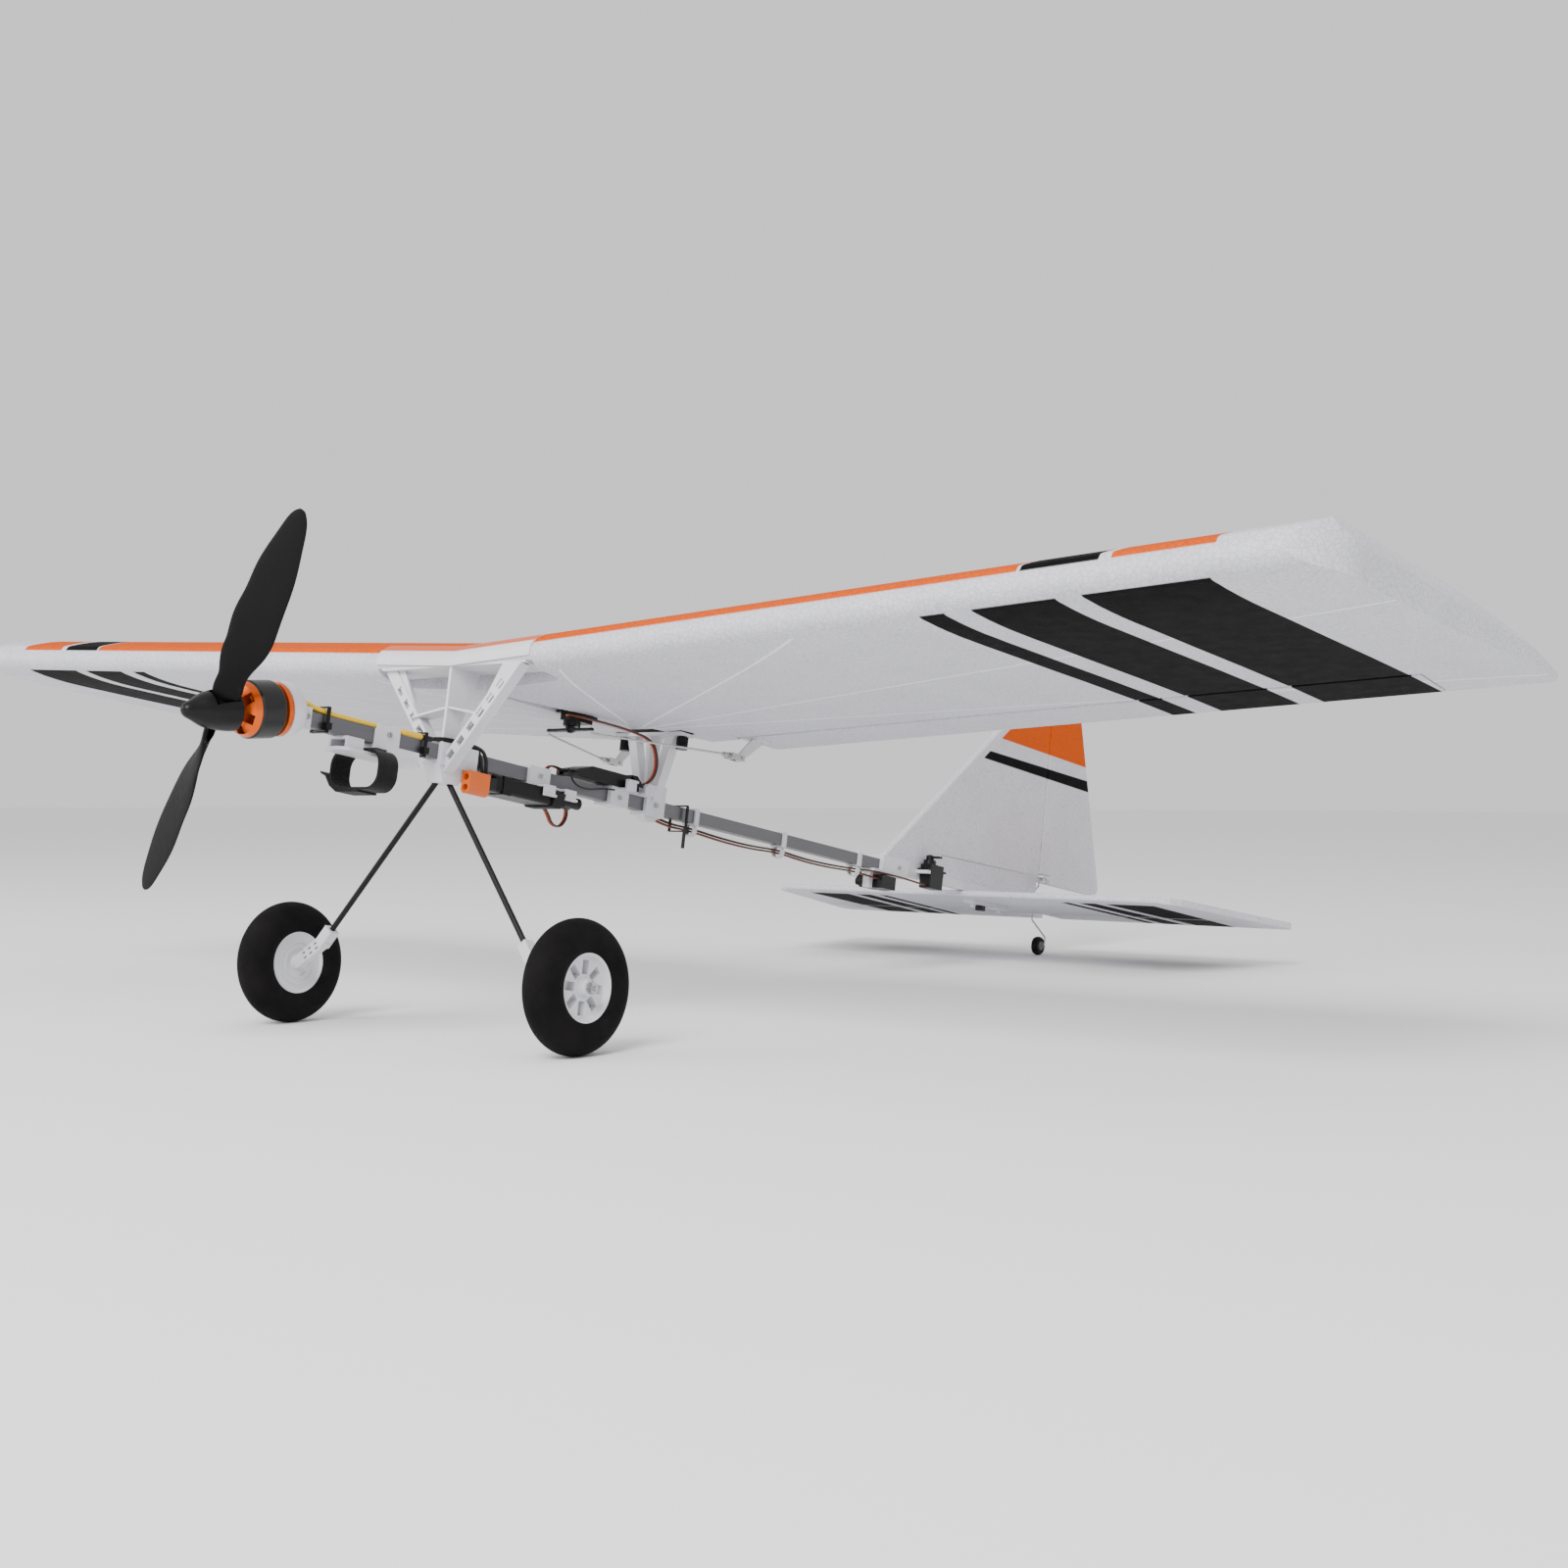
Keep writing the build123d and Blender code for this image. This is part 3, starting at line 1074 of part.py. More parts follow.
def receiver_leads():
    """Aileron servo lead down beside the rear pylon to the back of the receiver."""
    shapes = []
    for k in (-1, 0, 1):
        y = k * 1.4
        route = [(-236.4, 3.0 + y, 50.0), (-231.0, 6.4 + y, 50.1), (-238.0, 10.6 + y, 50.2), (-252.0, 11.4 + y, 50.4),
                 (-292.0, 11.6 + y, 51.0), (-322.0, 11.8 + y, 48.6), (-329.6, 12.0 + y, 36.0),
                 (-330.0, 11.6 + y, 23.0), (-324.0, 8.6 + y, 14.0), (-314.4, 6.0 + y, 11.4)]
        shapes.append(cord(route, 0.65, "aileron servo lead"))
    return joined(shapes)


def aerial():
    route = [(-244.5, 5.0, 10.6), (-237, 8.5, 12.0), (-233.5, 13.5, 7.5), (-236, 16.5, -0.5), (-250, 16.5, -2.5),
             (-272, 13.5, 2.5), (-284, 13.0, 3.4)]
    return cord(route, 0.7, "aerial")


def wire_rings():
    """Clip rings that hold the servo leads under the stick."""
    shapes = []
    for x in (-393.0, -513.0, -629.0):
        collar = Pos(x, 0, 0) * Box(5, 13, 13)
        ring = Pos(x, 0, -10.5) * Rot(0, 90, 0) * Cylinder(5.4, 5)
        hole = Pos(x, 0, -10.5) * Rot(0, 90, 0) * Cylinder(4.2, 6)
        shapes.append(collar + ring - Pos(x, 0, 0) * Box(6, STICK, STICK) - hole)
    return joined(shapes)


def servo_leads():
    """Rudder and elevator servo leads, three strands each, through the clip rings."""
    strands = []
    for k in (-1, 0, 1):
        y = 1.4 * k
        route = [(-314.4, -6.6 + y, 9.2), (-320.5, -10.4 + y, 9.6), (-332.0, -13.8 + y, 7.6),
                 (-351.0, -12.4 + y, -4.0), (-367.0, -6.8 + y, -10.4), (-393.0, y, -11.0), (-432.0, y, -13.2),
                 (-474.0, y, -13.5), (-513.0, y, -11.0), (-552.0, y, -13.3), (-592.0, y, -13.0),
                 (-629.0, y, -11.0), (-644.0, 5.0 + y, -12.8), (-656.3, 8.8 + y, -14.0)]
        strands.append(cord(route, 0.65, "elevator servo lead"))
        route = [(-314.4, -6.6 + y, 11.8), (-320.5, -10.4 + y, 12.2), (-332.5, -14.2 + y, 10.6),
                 (-354.0, -12.6 + y, -1.8), (-370.0, -6.6 + y, -8.2), (-393.0, y, -8.8), (-431.0, y, -10.8),
                 (-473.0, y, -11.2), (-513.0, y, -8.8), (-551.0, y, -11.0), (-590.0, y, -10.7),
                 (-629.0, y, -8.8), (-638.0, 6.6 + y, -8.6), (-648.0, 12.0 + y, -8.4), (-670.0, 12.6 + y, -8.3),
                 (-706.0, 12.0 + y, -8.8), (-724.0, 11.6 + y, -9.6), (-733.3, 11.4 + y, -9.5)]
        strands.append(cord(route, 0.65, "rudder servo lead"))
    return Compound(strands)


def cable_ties():
    """Ties round the stick: two over the motor leads, one on the servo leads with a long tail."""
    shapes = []
    for x in (-14.0, -97.8):
        loop = Pos(x, 0, 2.0) * Box(2.6, 15.4, 16.8) - Pos(x, 0, 2.0) * Box(3, 13.6, 15.0)
        shapes.append(loop + Pos(x, 7.8, -2.0) * Box(4.4, 3.0, 4.4))
    x = -377.5
    loop = Pos(x, 0, -3.5) * Box(2.6, 17.4, 21.0) - Pos(x, 0, -3.5) * Box(3, 15.6, 19.2)
    tail = block(x - 0.6, x + 0.6, 6.0, 8.6, -27, -13)
    return joined(shapes + [loop + tail + block(x - 2.2, x + 2.2, 7.9, 10.4, -15.4, -11.4)])


parts["battery_tray"] = battery_tray()
parts["battery_strap"] = battery_strap()
parts["motor_wires"] = motor_wires()
parts["esc"] = esc()
parts["esc_leads"] = esc_leads() + battery_boot()
parts["battery_connector"] = battery_connector()
parts["clip_holders"] = clip_holders()
parts["holder_straps"] = holder_straps()
parts["receiver"] = receiver()
parts["receiver_leads"] = receiver_leads() + aerial()
parts["wire_rings"] = wire_rings()
parts["servo_leads"] = servo_leads()
parts["cable_ties"] = cable_ties()
parts["clip_screws"] = joined(screw(at) for at in SCREWS)

# ---------------------------------------------------------------- standing the aircraft on its wheels

FRONT_REACH = 89.42             # forward and rear ends of the aircraft along the ground
REAR_REACH = -1095.53
MIDDLE = (FRONT_REACH + REAR_REACH) / 2
STAND = Pos(-MIDDLE, 0, -GROUND) * Rot(0, -math.degrees(PITCH), 0)


def write_parts():
    os.makedirs("parts", exist_ok=True)
    for name, shape in parts.items():
        export_step(STAND * shape, f"parts/{name}.step")


write_parts()
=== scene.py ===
"""High-wing stick-fuselage model aircraft: materials, small visual pieces, light and camera."""

import json
import math

import bpy
from mathutils import Matrix, Vector


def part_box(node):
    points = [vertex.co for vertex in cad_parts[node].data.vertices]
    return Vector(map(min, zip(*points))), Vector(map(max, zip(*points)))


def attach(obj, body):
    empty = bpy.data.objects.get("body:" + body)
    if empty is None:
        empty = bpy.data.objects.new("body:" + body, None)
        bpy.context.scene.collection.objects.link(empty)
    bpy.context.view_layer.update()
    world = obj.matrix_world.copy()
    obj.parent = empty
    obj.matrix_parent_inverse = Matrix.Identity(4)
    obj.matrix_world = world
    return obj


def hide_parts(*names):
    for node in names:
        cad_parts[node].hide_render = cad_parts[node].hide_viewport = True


MM = 0.001

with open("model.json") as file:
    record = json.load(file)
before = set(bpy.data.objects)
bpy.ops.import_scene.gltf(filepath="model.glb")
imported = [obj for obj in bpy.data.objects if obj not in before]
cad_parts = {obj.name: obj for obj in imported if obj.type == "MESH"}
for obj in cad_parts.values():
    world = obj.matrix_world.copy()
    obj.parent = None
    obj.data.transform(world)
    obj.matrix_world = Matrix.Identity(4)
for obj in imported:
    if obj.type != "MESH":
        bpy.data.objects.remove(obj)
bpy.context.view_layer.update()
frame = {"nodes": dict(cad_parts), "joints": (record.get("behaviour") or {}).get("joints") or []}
NODES = frame["nodes"]

# ---------------------------------------------------------------- the airframe's own axes
# The aileron servo's shaft stands square to the stick at a known station, so its joint gives the
# nose-up angle and the place of the stick's front end.

SERVO_STATION = Vector((-0.243, 0.0, 0.0523))  # metres from the stick's front end


def airframe_matrix():
    """Airframe axes (ahead, to port, up) in the row frame."""
    joint = next(j for j in frame["joints"] if j["name"] == "aileron_servo_turn")
    up = Vector(joint["axis"]).normalized()
    side = Vector((0.0, 1.0, 0.0))
    ahead = side.cross(up)
    turn = Matrix((ahead, side, up)).transposed()
    place = Vector(joint["pos_m"]) - turn @ SERVO_STATION
    return Matrix.Translation(place) @ turn.to_4x4()


AIR = airframe_matrix()
AIR_ANGLES = AIR.to_euler()
AIR_PLACE = AIR.translation


def at(x, y, z):
    """Point in airframe millimetres to the row frame."""
    return AIR @ Vector((x * MM, y * MM, z * MM))


def along(x, y, z):
    """Direction in airframe axes to the row frame."""
    return AIR.to_3x3() @ Vector((x, y, z))


# ---------------------------------------------------------------- shader helpers


class Shader:
    """One material's node tree, with short names for what the finishes use."""

    def __init__(self, name, roughness=0.5, metallic=0.0, specular=0.5, colour=None):
        self.mat = bpy.data.materials.new(name)
        self.mat.use_nodes = True
        self.tree = self.mat.node_tree
        self.bsdf = self.tree.nodes["Principled BSDF"]
        self.bsdf.inputs["Roughness"].default_value = roughness
        self.bsdf.inputs["Metallic"].default_value = metallic
        self.bsdf.inputs["Specular IOR Level"].default_value = specular
        if colour:
            self.bsdf.inputs["Base Color"].default_value = (*colour, 1.0)
        self.coords = self.tree.nodes.new("ShaderNodeTexCoord")
        self.relief = None

    def put(self, socket, value):
        """Links a socket, or sets a plain value."""
        if isinstance(value, bpy.types.NodeSocket):
            self.tree.links.new(value, socket)
        else:
            socket.default_value = value

    def object_point(self):
        return self.coords.outputs["Object"]

    def airframe_point(self):
        """Object point in the airframe's own axes, in millimetres."""
        node = self.tree.nodes.new("ShaderNodeMapping")
        node.vector_type = "TEXTURE"
        node.inputs["Location"].default_value = AIR_PLACE
        node.inputs["Rotation"].default_value = AIR_ANGLES
        node.inputs["Scale"].default_value = (MM, MM, MM)
        self.put(node.inputs["Vector"], self.object_point())
        return self.split(node.outputs["Vector"])

    def airframe_normal(self):
        """Surface normal in the airframe's axes."""
        node = self.tree.nodes.new("ShaderNodeMapping")
        node.vector_type = "TEXTURE"
        node.inputs["Rotation"].default_value = AIR_ANGLES
        self.put(node.inputs["Vector"], self.coords.outputs["Normal"])
        return self.split(node.outputs["Vector"])

    def split(self, vector):
        node = self.tree.nodes.new("ShaderNodeSeparateXYZ")
        self.put(node.inputs[0], vector)
        return node.outputs[0], node.outputs[1], node.outputs[2]

    def math(self, operation, a, b=0.0, c=0.0):
        node = self.tree.nodes.new("ShaderNodeMath")
        node.operation = operation
        for socket, value in zip(node.inputs, (a, b, c)):
            self.put(socket, value)
        return node.outputs[0]

    def ramp(self, value, low, high):
        """0 below low, 1 above high, straight between."""
        node = self.tree.nodes.new("ShaderNodeMapRange")
        node.inputs["From Min"].default_value = low
        node.inputs["From Max"].default_value = high
        self.put(node.inputs["Value"], value)
        return node.outputs[0]

    def above(self, value, edge, soft=0.25):
        """1 where value is past the edge; either of them may be a socket."""
        return self.ramp(self.math("SUBTRACT", value, edge), -soft, soft)

    def between(self, value, low, high, soft=0.25):
        return self.math("MULTIPLY", self.above(value, low, soft),
                         self.math("SUBTRACT", 1.0, self.above(value, high, soft)))

    def facing(self, way, edge, soft):
        """1 where the surface faces up (way 1.0) or down (way -1.0) in the airframe."""
        return self.above(self.math("MULTIPLY", self.airframe_normal()[2], way), edge, soft)

    def product(self, *values):
        result = values[0]
        for value in values[1:]:
            result = self.math("MULTIPLY", result, value)
        return result

    def either(self, *values):
        result = values[0]
        for value in values[1:]:
            result = self.math("MAXIMUM", result, value)
        return result

    def line(self, x, start, slope):
        """start + slope * x."""
        return self.math("MULTIPLY_ADD", x, slope, start)

    def mix(self, factor, one, two):
        node = self.tree.nodes.new("ShaderNodeMix")
        node.data_type = "RGBA"
        self.put(node.inputs["Factor"], factor)
        for socket, colour in ((node.inputs[6], one), (node.inputs[7], two)):
            self.put(socket, colour if isinstance(colour, bpy.types.NodeSocket) else (*colour, 1.0))
        return node.outputs[2]

    def noise(self, scale, detail=3.0, vector=None):
        node = self.tree.nodes.new("ShaderNodeTexNoise")
        node.inputs["Scale"].default_value = scale
        node.inputs["Detail"].default_value = detail
        self.put(node.inputs["Vector"], vector or self.object_point())
        return node.outputs["Fac"]

    def cells(self, scale, feature="F1"):
        """Distance in a pattern of round cells."""
        node = self.tree.nodes.new("ShaderNodeTexVoronoi")
        node.feature = feature
        node.inputs["Scale"].default_value = scale
        self.put(node.inputs["Vector"], self.object_point())
        return node.outputs["Distance"]

    def bump(self, height, distance, strength):
        """Adds one layer of relief, with its depth in metres."""
        node = self.tree.nodes.new("ShaderNodeBump")
        node.inputs["Distance"].default_value = distance
        node.inputs["Strength"].default_value = strength
        self.put(node.inputs["Height"], height)
        if self.relief:
            self.put(node.inputs["Normal"], self.relief)
        self.relief = node.outputs["Normal"]
        self.put(self.bsdf.inputs["Normal"], self.relief)

    def colour(self, value):
        self.put(self.bsdf.inputs["Base Color"], value)

    def roughness(self, value):
        self.put(self.bsdf.inputs["Roughness"], value)


def shade(colour, factor):
    """Lighter or darker version of a colour."""
    return tuple(min(1.0, channel * factor) for channel in colour)


# ---------------------------------------------------------------- colours

FOAM = (0.60, 0.60, 0.655)
ORANGE = (0.62, 0.085, 0.003)
DECAL_BLACK = (0.004, 0.0033, 0.0033)
TAPE_WHITE = (0.95, 0.95, 0.97)
WHITE_NYLON = (0.62, 0.62, 0.65)
SMOOTH_WHITE = (0.66, 0.66, 0.69)
CAP_WHITES = ((0.62, 0.62, 0.655), (0.68, 0.68, 0.71))
TYRE_BLACKS = ((0.0035, 0.003, 0.003), (0.008, 0.007, 0.007))
TAIL_TYRE_BLACKS = ((0.003, 0.003, 0.003), (0.008, 0.007, 0.007))
TAIL_HUB_GREYS = ((0.16, 0.16, 0.16), (0.24, 0.24, 0.24))
MOULDED_BLACK = (0.004, 0.0037, 0.004)
PROPELLER_BLACK = (0.003, 0.0027, 0.003)
CASE_BLACK = (0.005, 0.005, 0.0055)
SHRINK_BLACK = (0.004, 0.004, 0.004)
LEG_BLACK = (0.005, 0.005, 0.006)
RING_BLACK = (0.008, 0.0075, 0.0075)
STRAP_BLACK = (0.003, 0.0028, 0.0028)
RUBBER_BLACK = (0.006, 0.0055, 0.0055)
BULLET_BLACK = (0.006, 0.006, 0.006)
CLIP_BLACK = (0.006, 0.0055, 0.006)
PLUG_ORANGE = (0.66, 0.11, 0.006)
MOTOR_ORANGE = (0.72, 0.11, 0.008)
SLEEVE_YELLOW = (0.80, 0.50, 0.012)
ALUMINIUM = (0.17, 0.17, 0.18)
STEEL = (0.50, 0.50, 0.50)
STRAND_COLOURS = {
    "orange": (0.52, 0.11, 0.008),
    "red": (0.20, 0.009, 0.006),
    "brown": (0.035, 0.011, 0.006),
}
FLOOR_WHITE = (0.92, 0.92, 0.92)

# ---------------------------------------------------------------- markings
# Stations and reaches in airframe millimetres: x is negative aft of the stick's front end, and a
# reach is the distance from the centre line. Each marking ends over FILM_EDGE either side of its line.

FILM_EDGE = 0.4
UP, DOWN = 1.0, -1.0
WING_TILT = (0.1, 0.03)            # how far a face has to turn up or down to be marked, softness
TAIL_TILT = (0.5, 0.05)

MARKS_FRONT = -126.0               # where the black bands under the wing start
TOP_FRONT = -120.5                 # where the orange starts, on the nose's upper side
TOP_REAR = -372.0                  # where the markings above the wing end
BAND_CHORD = (-128.0, -426.0)      # over which the bands under the wing spread outboard
BAND_SPREAD = 0.04                 # by this part of their reach
BAND_NOSE_CURL = (4.0, 9.0)        # and curl inboard at the nose: millimetres, sharpness
WING_BANDS = ((371.0, 387.0), (404.0, 455.0), (470.0, 541.0))
TOP_ORANGE_END = 429.0
TOP_BLACK_BAND = (431.0, 477.0)
TOP_TIP_ORANGE = (484.0, 541.0)

TAPE_HUB = (-314.0, 2.0)           # station and reach that the spar tapes start from
TAPE_ANGLES = (25.6, 56.4, 79.0, 98.2)
TAPE_HALF_WIDTH = 0.9
TAPE_START = 12.0                  # distance from the hub
TAPE_FRONT = MARKS_FRONT - 6.0
TAPE_COVER = 0.8

FIN_EDGE = (-950.0, 224.0, -0.81)  # station, height and slope of the line where fin markings end
FIN_ORANGE = (138.0, -0.0205)      # height at station zero, slope
FIN_BLACK_LOW = (115.0, -0.018)
FIN_BLACK_HIGH = (113.5, -0.0305)

STAB_CHORD = (-838.0, -1012.0)
STAB_BANDS = (                     # inner and outer reach in front, and how far each grows aft
    ((98.0, 11.0), (107.0, 12.0)),
    ((117.0, 10.0), (135.0, 15.0)),
    ((144.0, 17.0), (193.0, 9.0)),
)
STAB_TOP_ORANGE = (60.0, 150.0)
STAB_TOP_BLACK = (160.0, 176.0)


def laid_over(shader, base, seam, orange, black):
    """Base colour with orange and black film over it, and less reflection where there is film."""
    base = shader.mix(orange, base, shader.mix(seam, shade(ORANGE, 0.8), ORANGE))
    base = shader.mix(black, base, shader.mix(seam, shade(DECAL_BLACK, 0.7), DECAL_BLACK))
    film = shader.either(orange, black)
    shader.put(shader.bsdf.inputs["Specular IOR Level"], shader.line(film, 0.4, -0.33))
    return base, film


def spar_tapes(shader, x, reach):
    """1 on the thin tapes that fan out from under each wing root."""
    hub_x = shader.math("SUBTRACT", x, TAPE_HUB[0])
    hub_y = shader.math("SUBTRACT", reach, TAPE_HUB[1])
    tapes = []
    for angle in TAPE_ANGLES:
        cosine = math.cos(math.radians(angle))
        sine = math.sin(math.radians(angle))
        away = shader.math("SUBTRACT", shader.math("MULTIPLY", hub_x, sine),
                           shader.math("MULTIPLY", hub_y, cosine))
        out = shader.math("ADD", shader.math("MULTIPLY", hub_x, cosine),
                          shader.math("MULTIPLY", hub_y, sine))
        width = shader.above(TAPE_HALF_WIDTH, shader.math("ABSOLUTE", away), FILM_EDGE)
        tapes.append(shader.product(width, shader.above(out, TAPE_START)))
    return shader.either(*tapes)


def wing_print(shader, base, seam):
    """Wing markings: orange and black above, three black bands below, and thin spar tapes."""
    x, y, _ = shader.airframe_point()
    below = shader.facing(DOWN, *WING_TILT)
    on_top = shader.facing(UP, *WING_TILT)
    reach = shader.math("ABSOLUTE", y)
    aft = shader.ramp(x, *BAND_CHORD)
    curl, sharpness = BAND_NOSE_CURL
    early = shader.math("POWER", shader.math("SUBTRACT", 1.0, aft), sharpness)
    unspread = shader.math("DIVIDE", reach, shader.line(aft, 1.0, BAND_SPREAD))
    spread = shader.math("MULTIPLY_ADD", early, curl, unspread)
    bands = shader.either(*[shader.between(spread, low, high) for low, high in WING_BANDS])
    black_below = shader.product(bands, below, shader.above(MARKS_FRONT, x, 0.5))
    top = shader.product(on_top, shader.above(TOP_FRONT, x, FILM_EDGE),
                         shader.above(x, TOP_REAR, FILM_EDGE))
    orange_reach = shader.either(shader.above(TOP_ORANGE_END, reach),
                                 shader.between(reach, *TOP_TIP_ORANGE))
    orange = shader.product(orange_reach, top)
    black_above = shader.product(shader.between(reach, *TOP_BLACK_BAND), top)
    black = shader.either(black_below, black_above)
    tape = shader.product(spar_tapes(shader, x, reach), below, shader.above(TAPE_FRONT, x))
    base = shader.mix(shader.math("MULTIPLY", tape, TAPE_COVER), base, TAPE_WHITE)
    return laid_over(shader, base, seam, orange, black)


def fin_print(shader, base, seam):
    """Orange tip with a black band below it, on both faces of the fin and rudder."""
    x, _, z = shader.airframe_point()
    station, height, slope = FIN_EDGE
    edge = shader.math("MULTIPLY", shader.math("SUBTRACT", x, station), slope)
    inside = shader.above(edge, shader.math("SUBTRACT", z, height), FILM_EDGE)
    orange = shader.product(shader.above(z, shader.line(x, *FIN_ORANGE), FILM_EDGE), inside)
    black = shader.product(shader.between(z, shader.line(x, *FIN_BLACK_LOW),
                                          shader.line(x, *FIN_BLACK_HIGH), FILM_EDGE), inside)
    return laid_over(shader, base, seam, orange, black)


def stab_print(shader, base, seam):
    """Three black bands under each half of the tailplane, and orange and black above."""
    x, y, _ = shader.airframe_point()
    reach = shader.math("ABSOLUTE", y)
    aft = shader.ramp(x, *STAB_CHORD)
    bands = [shader.between(reach, shader.line(aft, *inner), shader.line(aft, *outer), FILM_EDGE)
             for inner, outer in STAB_BANDS]
    below = shader.facing(DOWN, *TAIL_TILT)
    on_top = shader.facing(UP, *TAIL_TILT)
    front = shader.above(STAB_CHORD[0], x, FILM_EDGE)
    black_below = shader.product(shader.either(*bands), below, front)
    orange = shader.product(shader.between(reach, *STAB_TOP_ORANGE, FILM_EDGE), on_top, front)
    black_above = shader.product(shader.between(reach, *STAB_TOP_BLACK, FILM_EDGE), on_top, front)
    return laid_over(shader, base, seam, orange, shader.either(black_below, black_above))


# ---------------------------------------------------------------- finishes

BEAD_SCALE = 300.0
STICK_GRAIN = (0.02, 1.0, 1.0)     # drawing marks are this much longer along the stick
TAIL_HUB_SHARE = 0.56              # of the tail wheel's radius


def bead_foam(name, print_colour):
    """Moulded bead foam: small round cells with fine lines between them, under its markings."""
    shader = Shader(name, 0.5, specular=0.4)
    beads = shader.cells(BEAD_SCALE)
    seam = shader.ramp(shader.cells(BEAD_SCALE, "DISTANCE_TO_EDGE"), 0.0, 0.09)
    tone = shader.ramp(shader.noise(26.0, 4.0), 0.3, 0.7)
    speckle = shader.ramp(shader.noise(330.0, 2.0), 0.35, 0.65)
    base = shader.mix(tone, shade(FOAM, 0.90), shade(FOAM, 1.02))
    base = shader.mix(shader.math("MULTIPLY", speckle, 0.55), base, shade(FOAM, 1.14))
    base = shader.mix(seam, shade(FOAM, 0.80), base)
    base, film = print_colour(shader, base, seam)
    shader.colour(base)
    shader.bump(seam, 0.00016, 0.8)
    shader.bump(beads, 0.00010, 0.5)
    shader.bump(shader.noise(1400.0, 2.0), 0.00004, 0.6)
    bare = shader.math("MULTIPLY_ADD", shader.noise(90.0, 2.0), 0.2, 0.40)
    shader.roughness(shader.math("MULTIPLY_ADD", film, 0.25, bare))
    return shader.mat


def plastic(name, colour, roughness=0.42, grain=900.0, depth=0.00003, specular=0.5, mottle=0.05):
    """Moulded plastic with faint flow marks and a fine grain."""
    shader = Shader(name, roughness, specular=specular)
    tone = shader.ramp(shader.noise(55.0, 4.0), 0.3, 0.7)
    shader.colour(shader.mix(tone, shade(colour, 1.0 - mottle), shade(colour, 1.0 + mottle)))
    shader.roughness(shader.math("MULTIPLY_ADD", shader.noise(210.0, 3.0), 0.16, roughness - 0.08))
    shader.bump(shader.noise(grain, 3.0), depth, 0.7)
    return shader.mat


def metal(name, colour, roughness=0.3, brushed=None, metallic=1.0):
    """Metal, with drawing marks along one airframe axis if brushed."""
    shader = Shader(name, roughness, metallic=metallic)
    vector = None
    if brushed:
        node = shader.tree.nodes.new("ShaderNodeMapping")
        node.inputs["Rotation"].default_value = [-angle for angle in AIR_ANGLES]
        node.inputs["Scale"].default_value = brushed
        shader.put(node.inputs["Vector"], shader.object_point())
        vector = node.outputs["Vector"]
    marks = shader.noise(700.0, 4.0, vector)
    shader.colour(shader.mix(marks, shade(colour, 0.86), shade(colour, 1.08)))
    shader.roughness(shader.math("MULTIPLY_ADD", marks, 0.22, roughness - 0.1))
    shader.bump(marks, 0.00002, 0.5)
    return shader.mat


def rubber(name, colour, roughness=0.7):
    """Soft black rubber, uneven in tone."""
    shader = Shader(name, roughness, specular=0.35)
    tone = shader.ramp(shader.noise(70.0, 5.0), 0.3, 0.75)
    shader.colour(shader.mix(tone, shade(colour, 0.8), shade(colour, 1.35)))
    shader.roughness(shader.math("MULTIPLY_ADD", shader.noise(160.0, 3.0), 0.2, roughness - 0.1))
    shader.bump(shader.noise(800.0, 4.0), 0.00006, 0.8)
    return shader.mat


def foam_tyre(name):
    """Black foam tyre with open pores."""
    shader = Shader(name, 0.85, specular=0.12)
    pores = shader.cells(900.0)
    tone = shader.ramp(shader.noise(45.0, 5.0), 0.3, 0.7)
    shader.colour(shader.mix(tone, *TYRE_BLACKS))
    shader.bump(pores, 0.00018, 0.8)
    shader.bump(shader.noise(260.0, 3.0), 0.00012, 0.5)
    return shader.mat


def woven(name, colour):
    """Hook-and-loop tape: fine loops, darker between them."""
    shader = Shader(name, 0.9, specular=0.2)
    loops = shader.cells(1500.0)
    shader.colour(shader.mix(loops, shade(colour, 1.7), shade(colour, 0.6)))
    shader.bump(loops, 0.0003, 0.9)
    shader.bsdf.inputs["Sheen Weight"].default_value = 0.1
    return shader.mat


def cap_finish(name):
    """Smooth white cap with the wing's orange carried over its top."""
    shader = Shader(name, 0.36, specular=0.4)
    x = shader.airframe_point()[0]
    tone = shader.ramp(shader.noise(40.0, 4.0), 0.3, 0.7)
    base = shader.mix(tone, *CAP_WHITES)
    orange = shader.product(shader.facing(UP, *WING_TILT), shader.above(TOP_FRONT, x, FILM_EDGE))
    shader.colour(shader.mix(orange, base, ORANGE))
    shader.bump(shader.noise(500.0, 3.0), 0.00003, 0.6)
    shader.roughness(shader.math("MULTIPLY_ADD", shader.noise(120.0, 2.0), 0.15, 0.28))
    return shader.mat


def tail_wheel_finish(name):
    """Black tyre with a grey hub, parted by the distance from the wheel's own centre."""
    shader = Shader(name, 0.6, specular=0.2)
    low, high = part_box("tail_wheel")
    centre = [(a + b) / 2 for a, b in zip(low, high)]
    tyre_radius = (high[2] - low[2]) / 2
    node = shader.tree.nodes.new("ShaderNodeMapping")
    node.inputs["Location"].default_value = [-value for value in centre]
    shader.put(node.inputs["Vector"], shader.object_point())
    x, _, z = shader.split(node.outputs["Vector"])
    radius = shader.math("SQRT", shader.math("ADD", shader.product(x, x), shader.product(z, z)))
    tyre = shader.above(radius, TAIL_HUB_SHARE * tyre_radius, 0.0002)
    tone = shader.noise(300.0, 3.0)
    hub = shader.mix(tone, *TAIL_HUB_GREYS)
    shader.colour(shader.mix(tyre, hub, shader.mix(tone, *TAIL_TYRE_BLACKS)))
    shader.bump(shader.noise(1200.0, 3.0), 0.00006, 0.8)
    return shader.mat


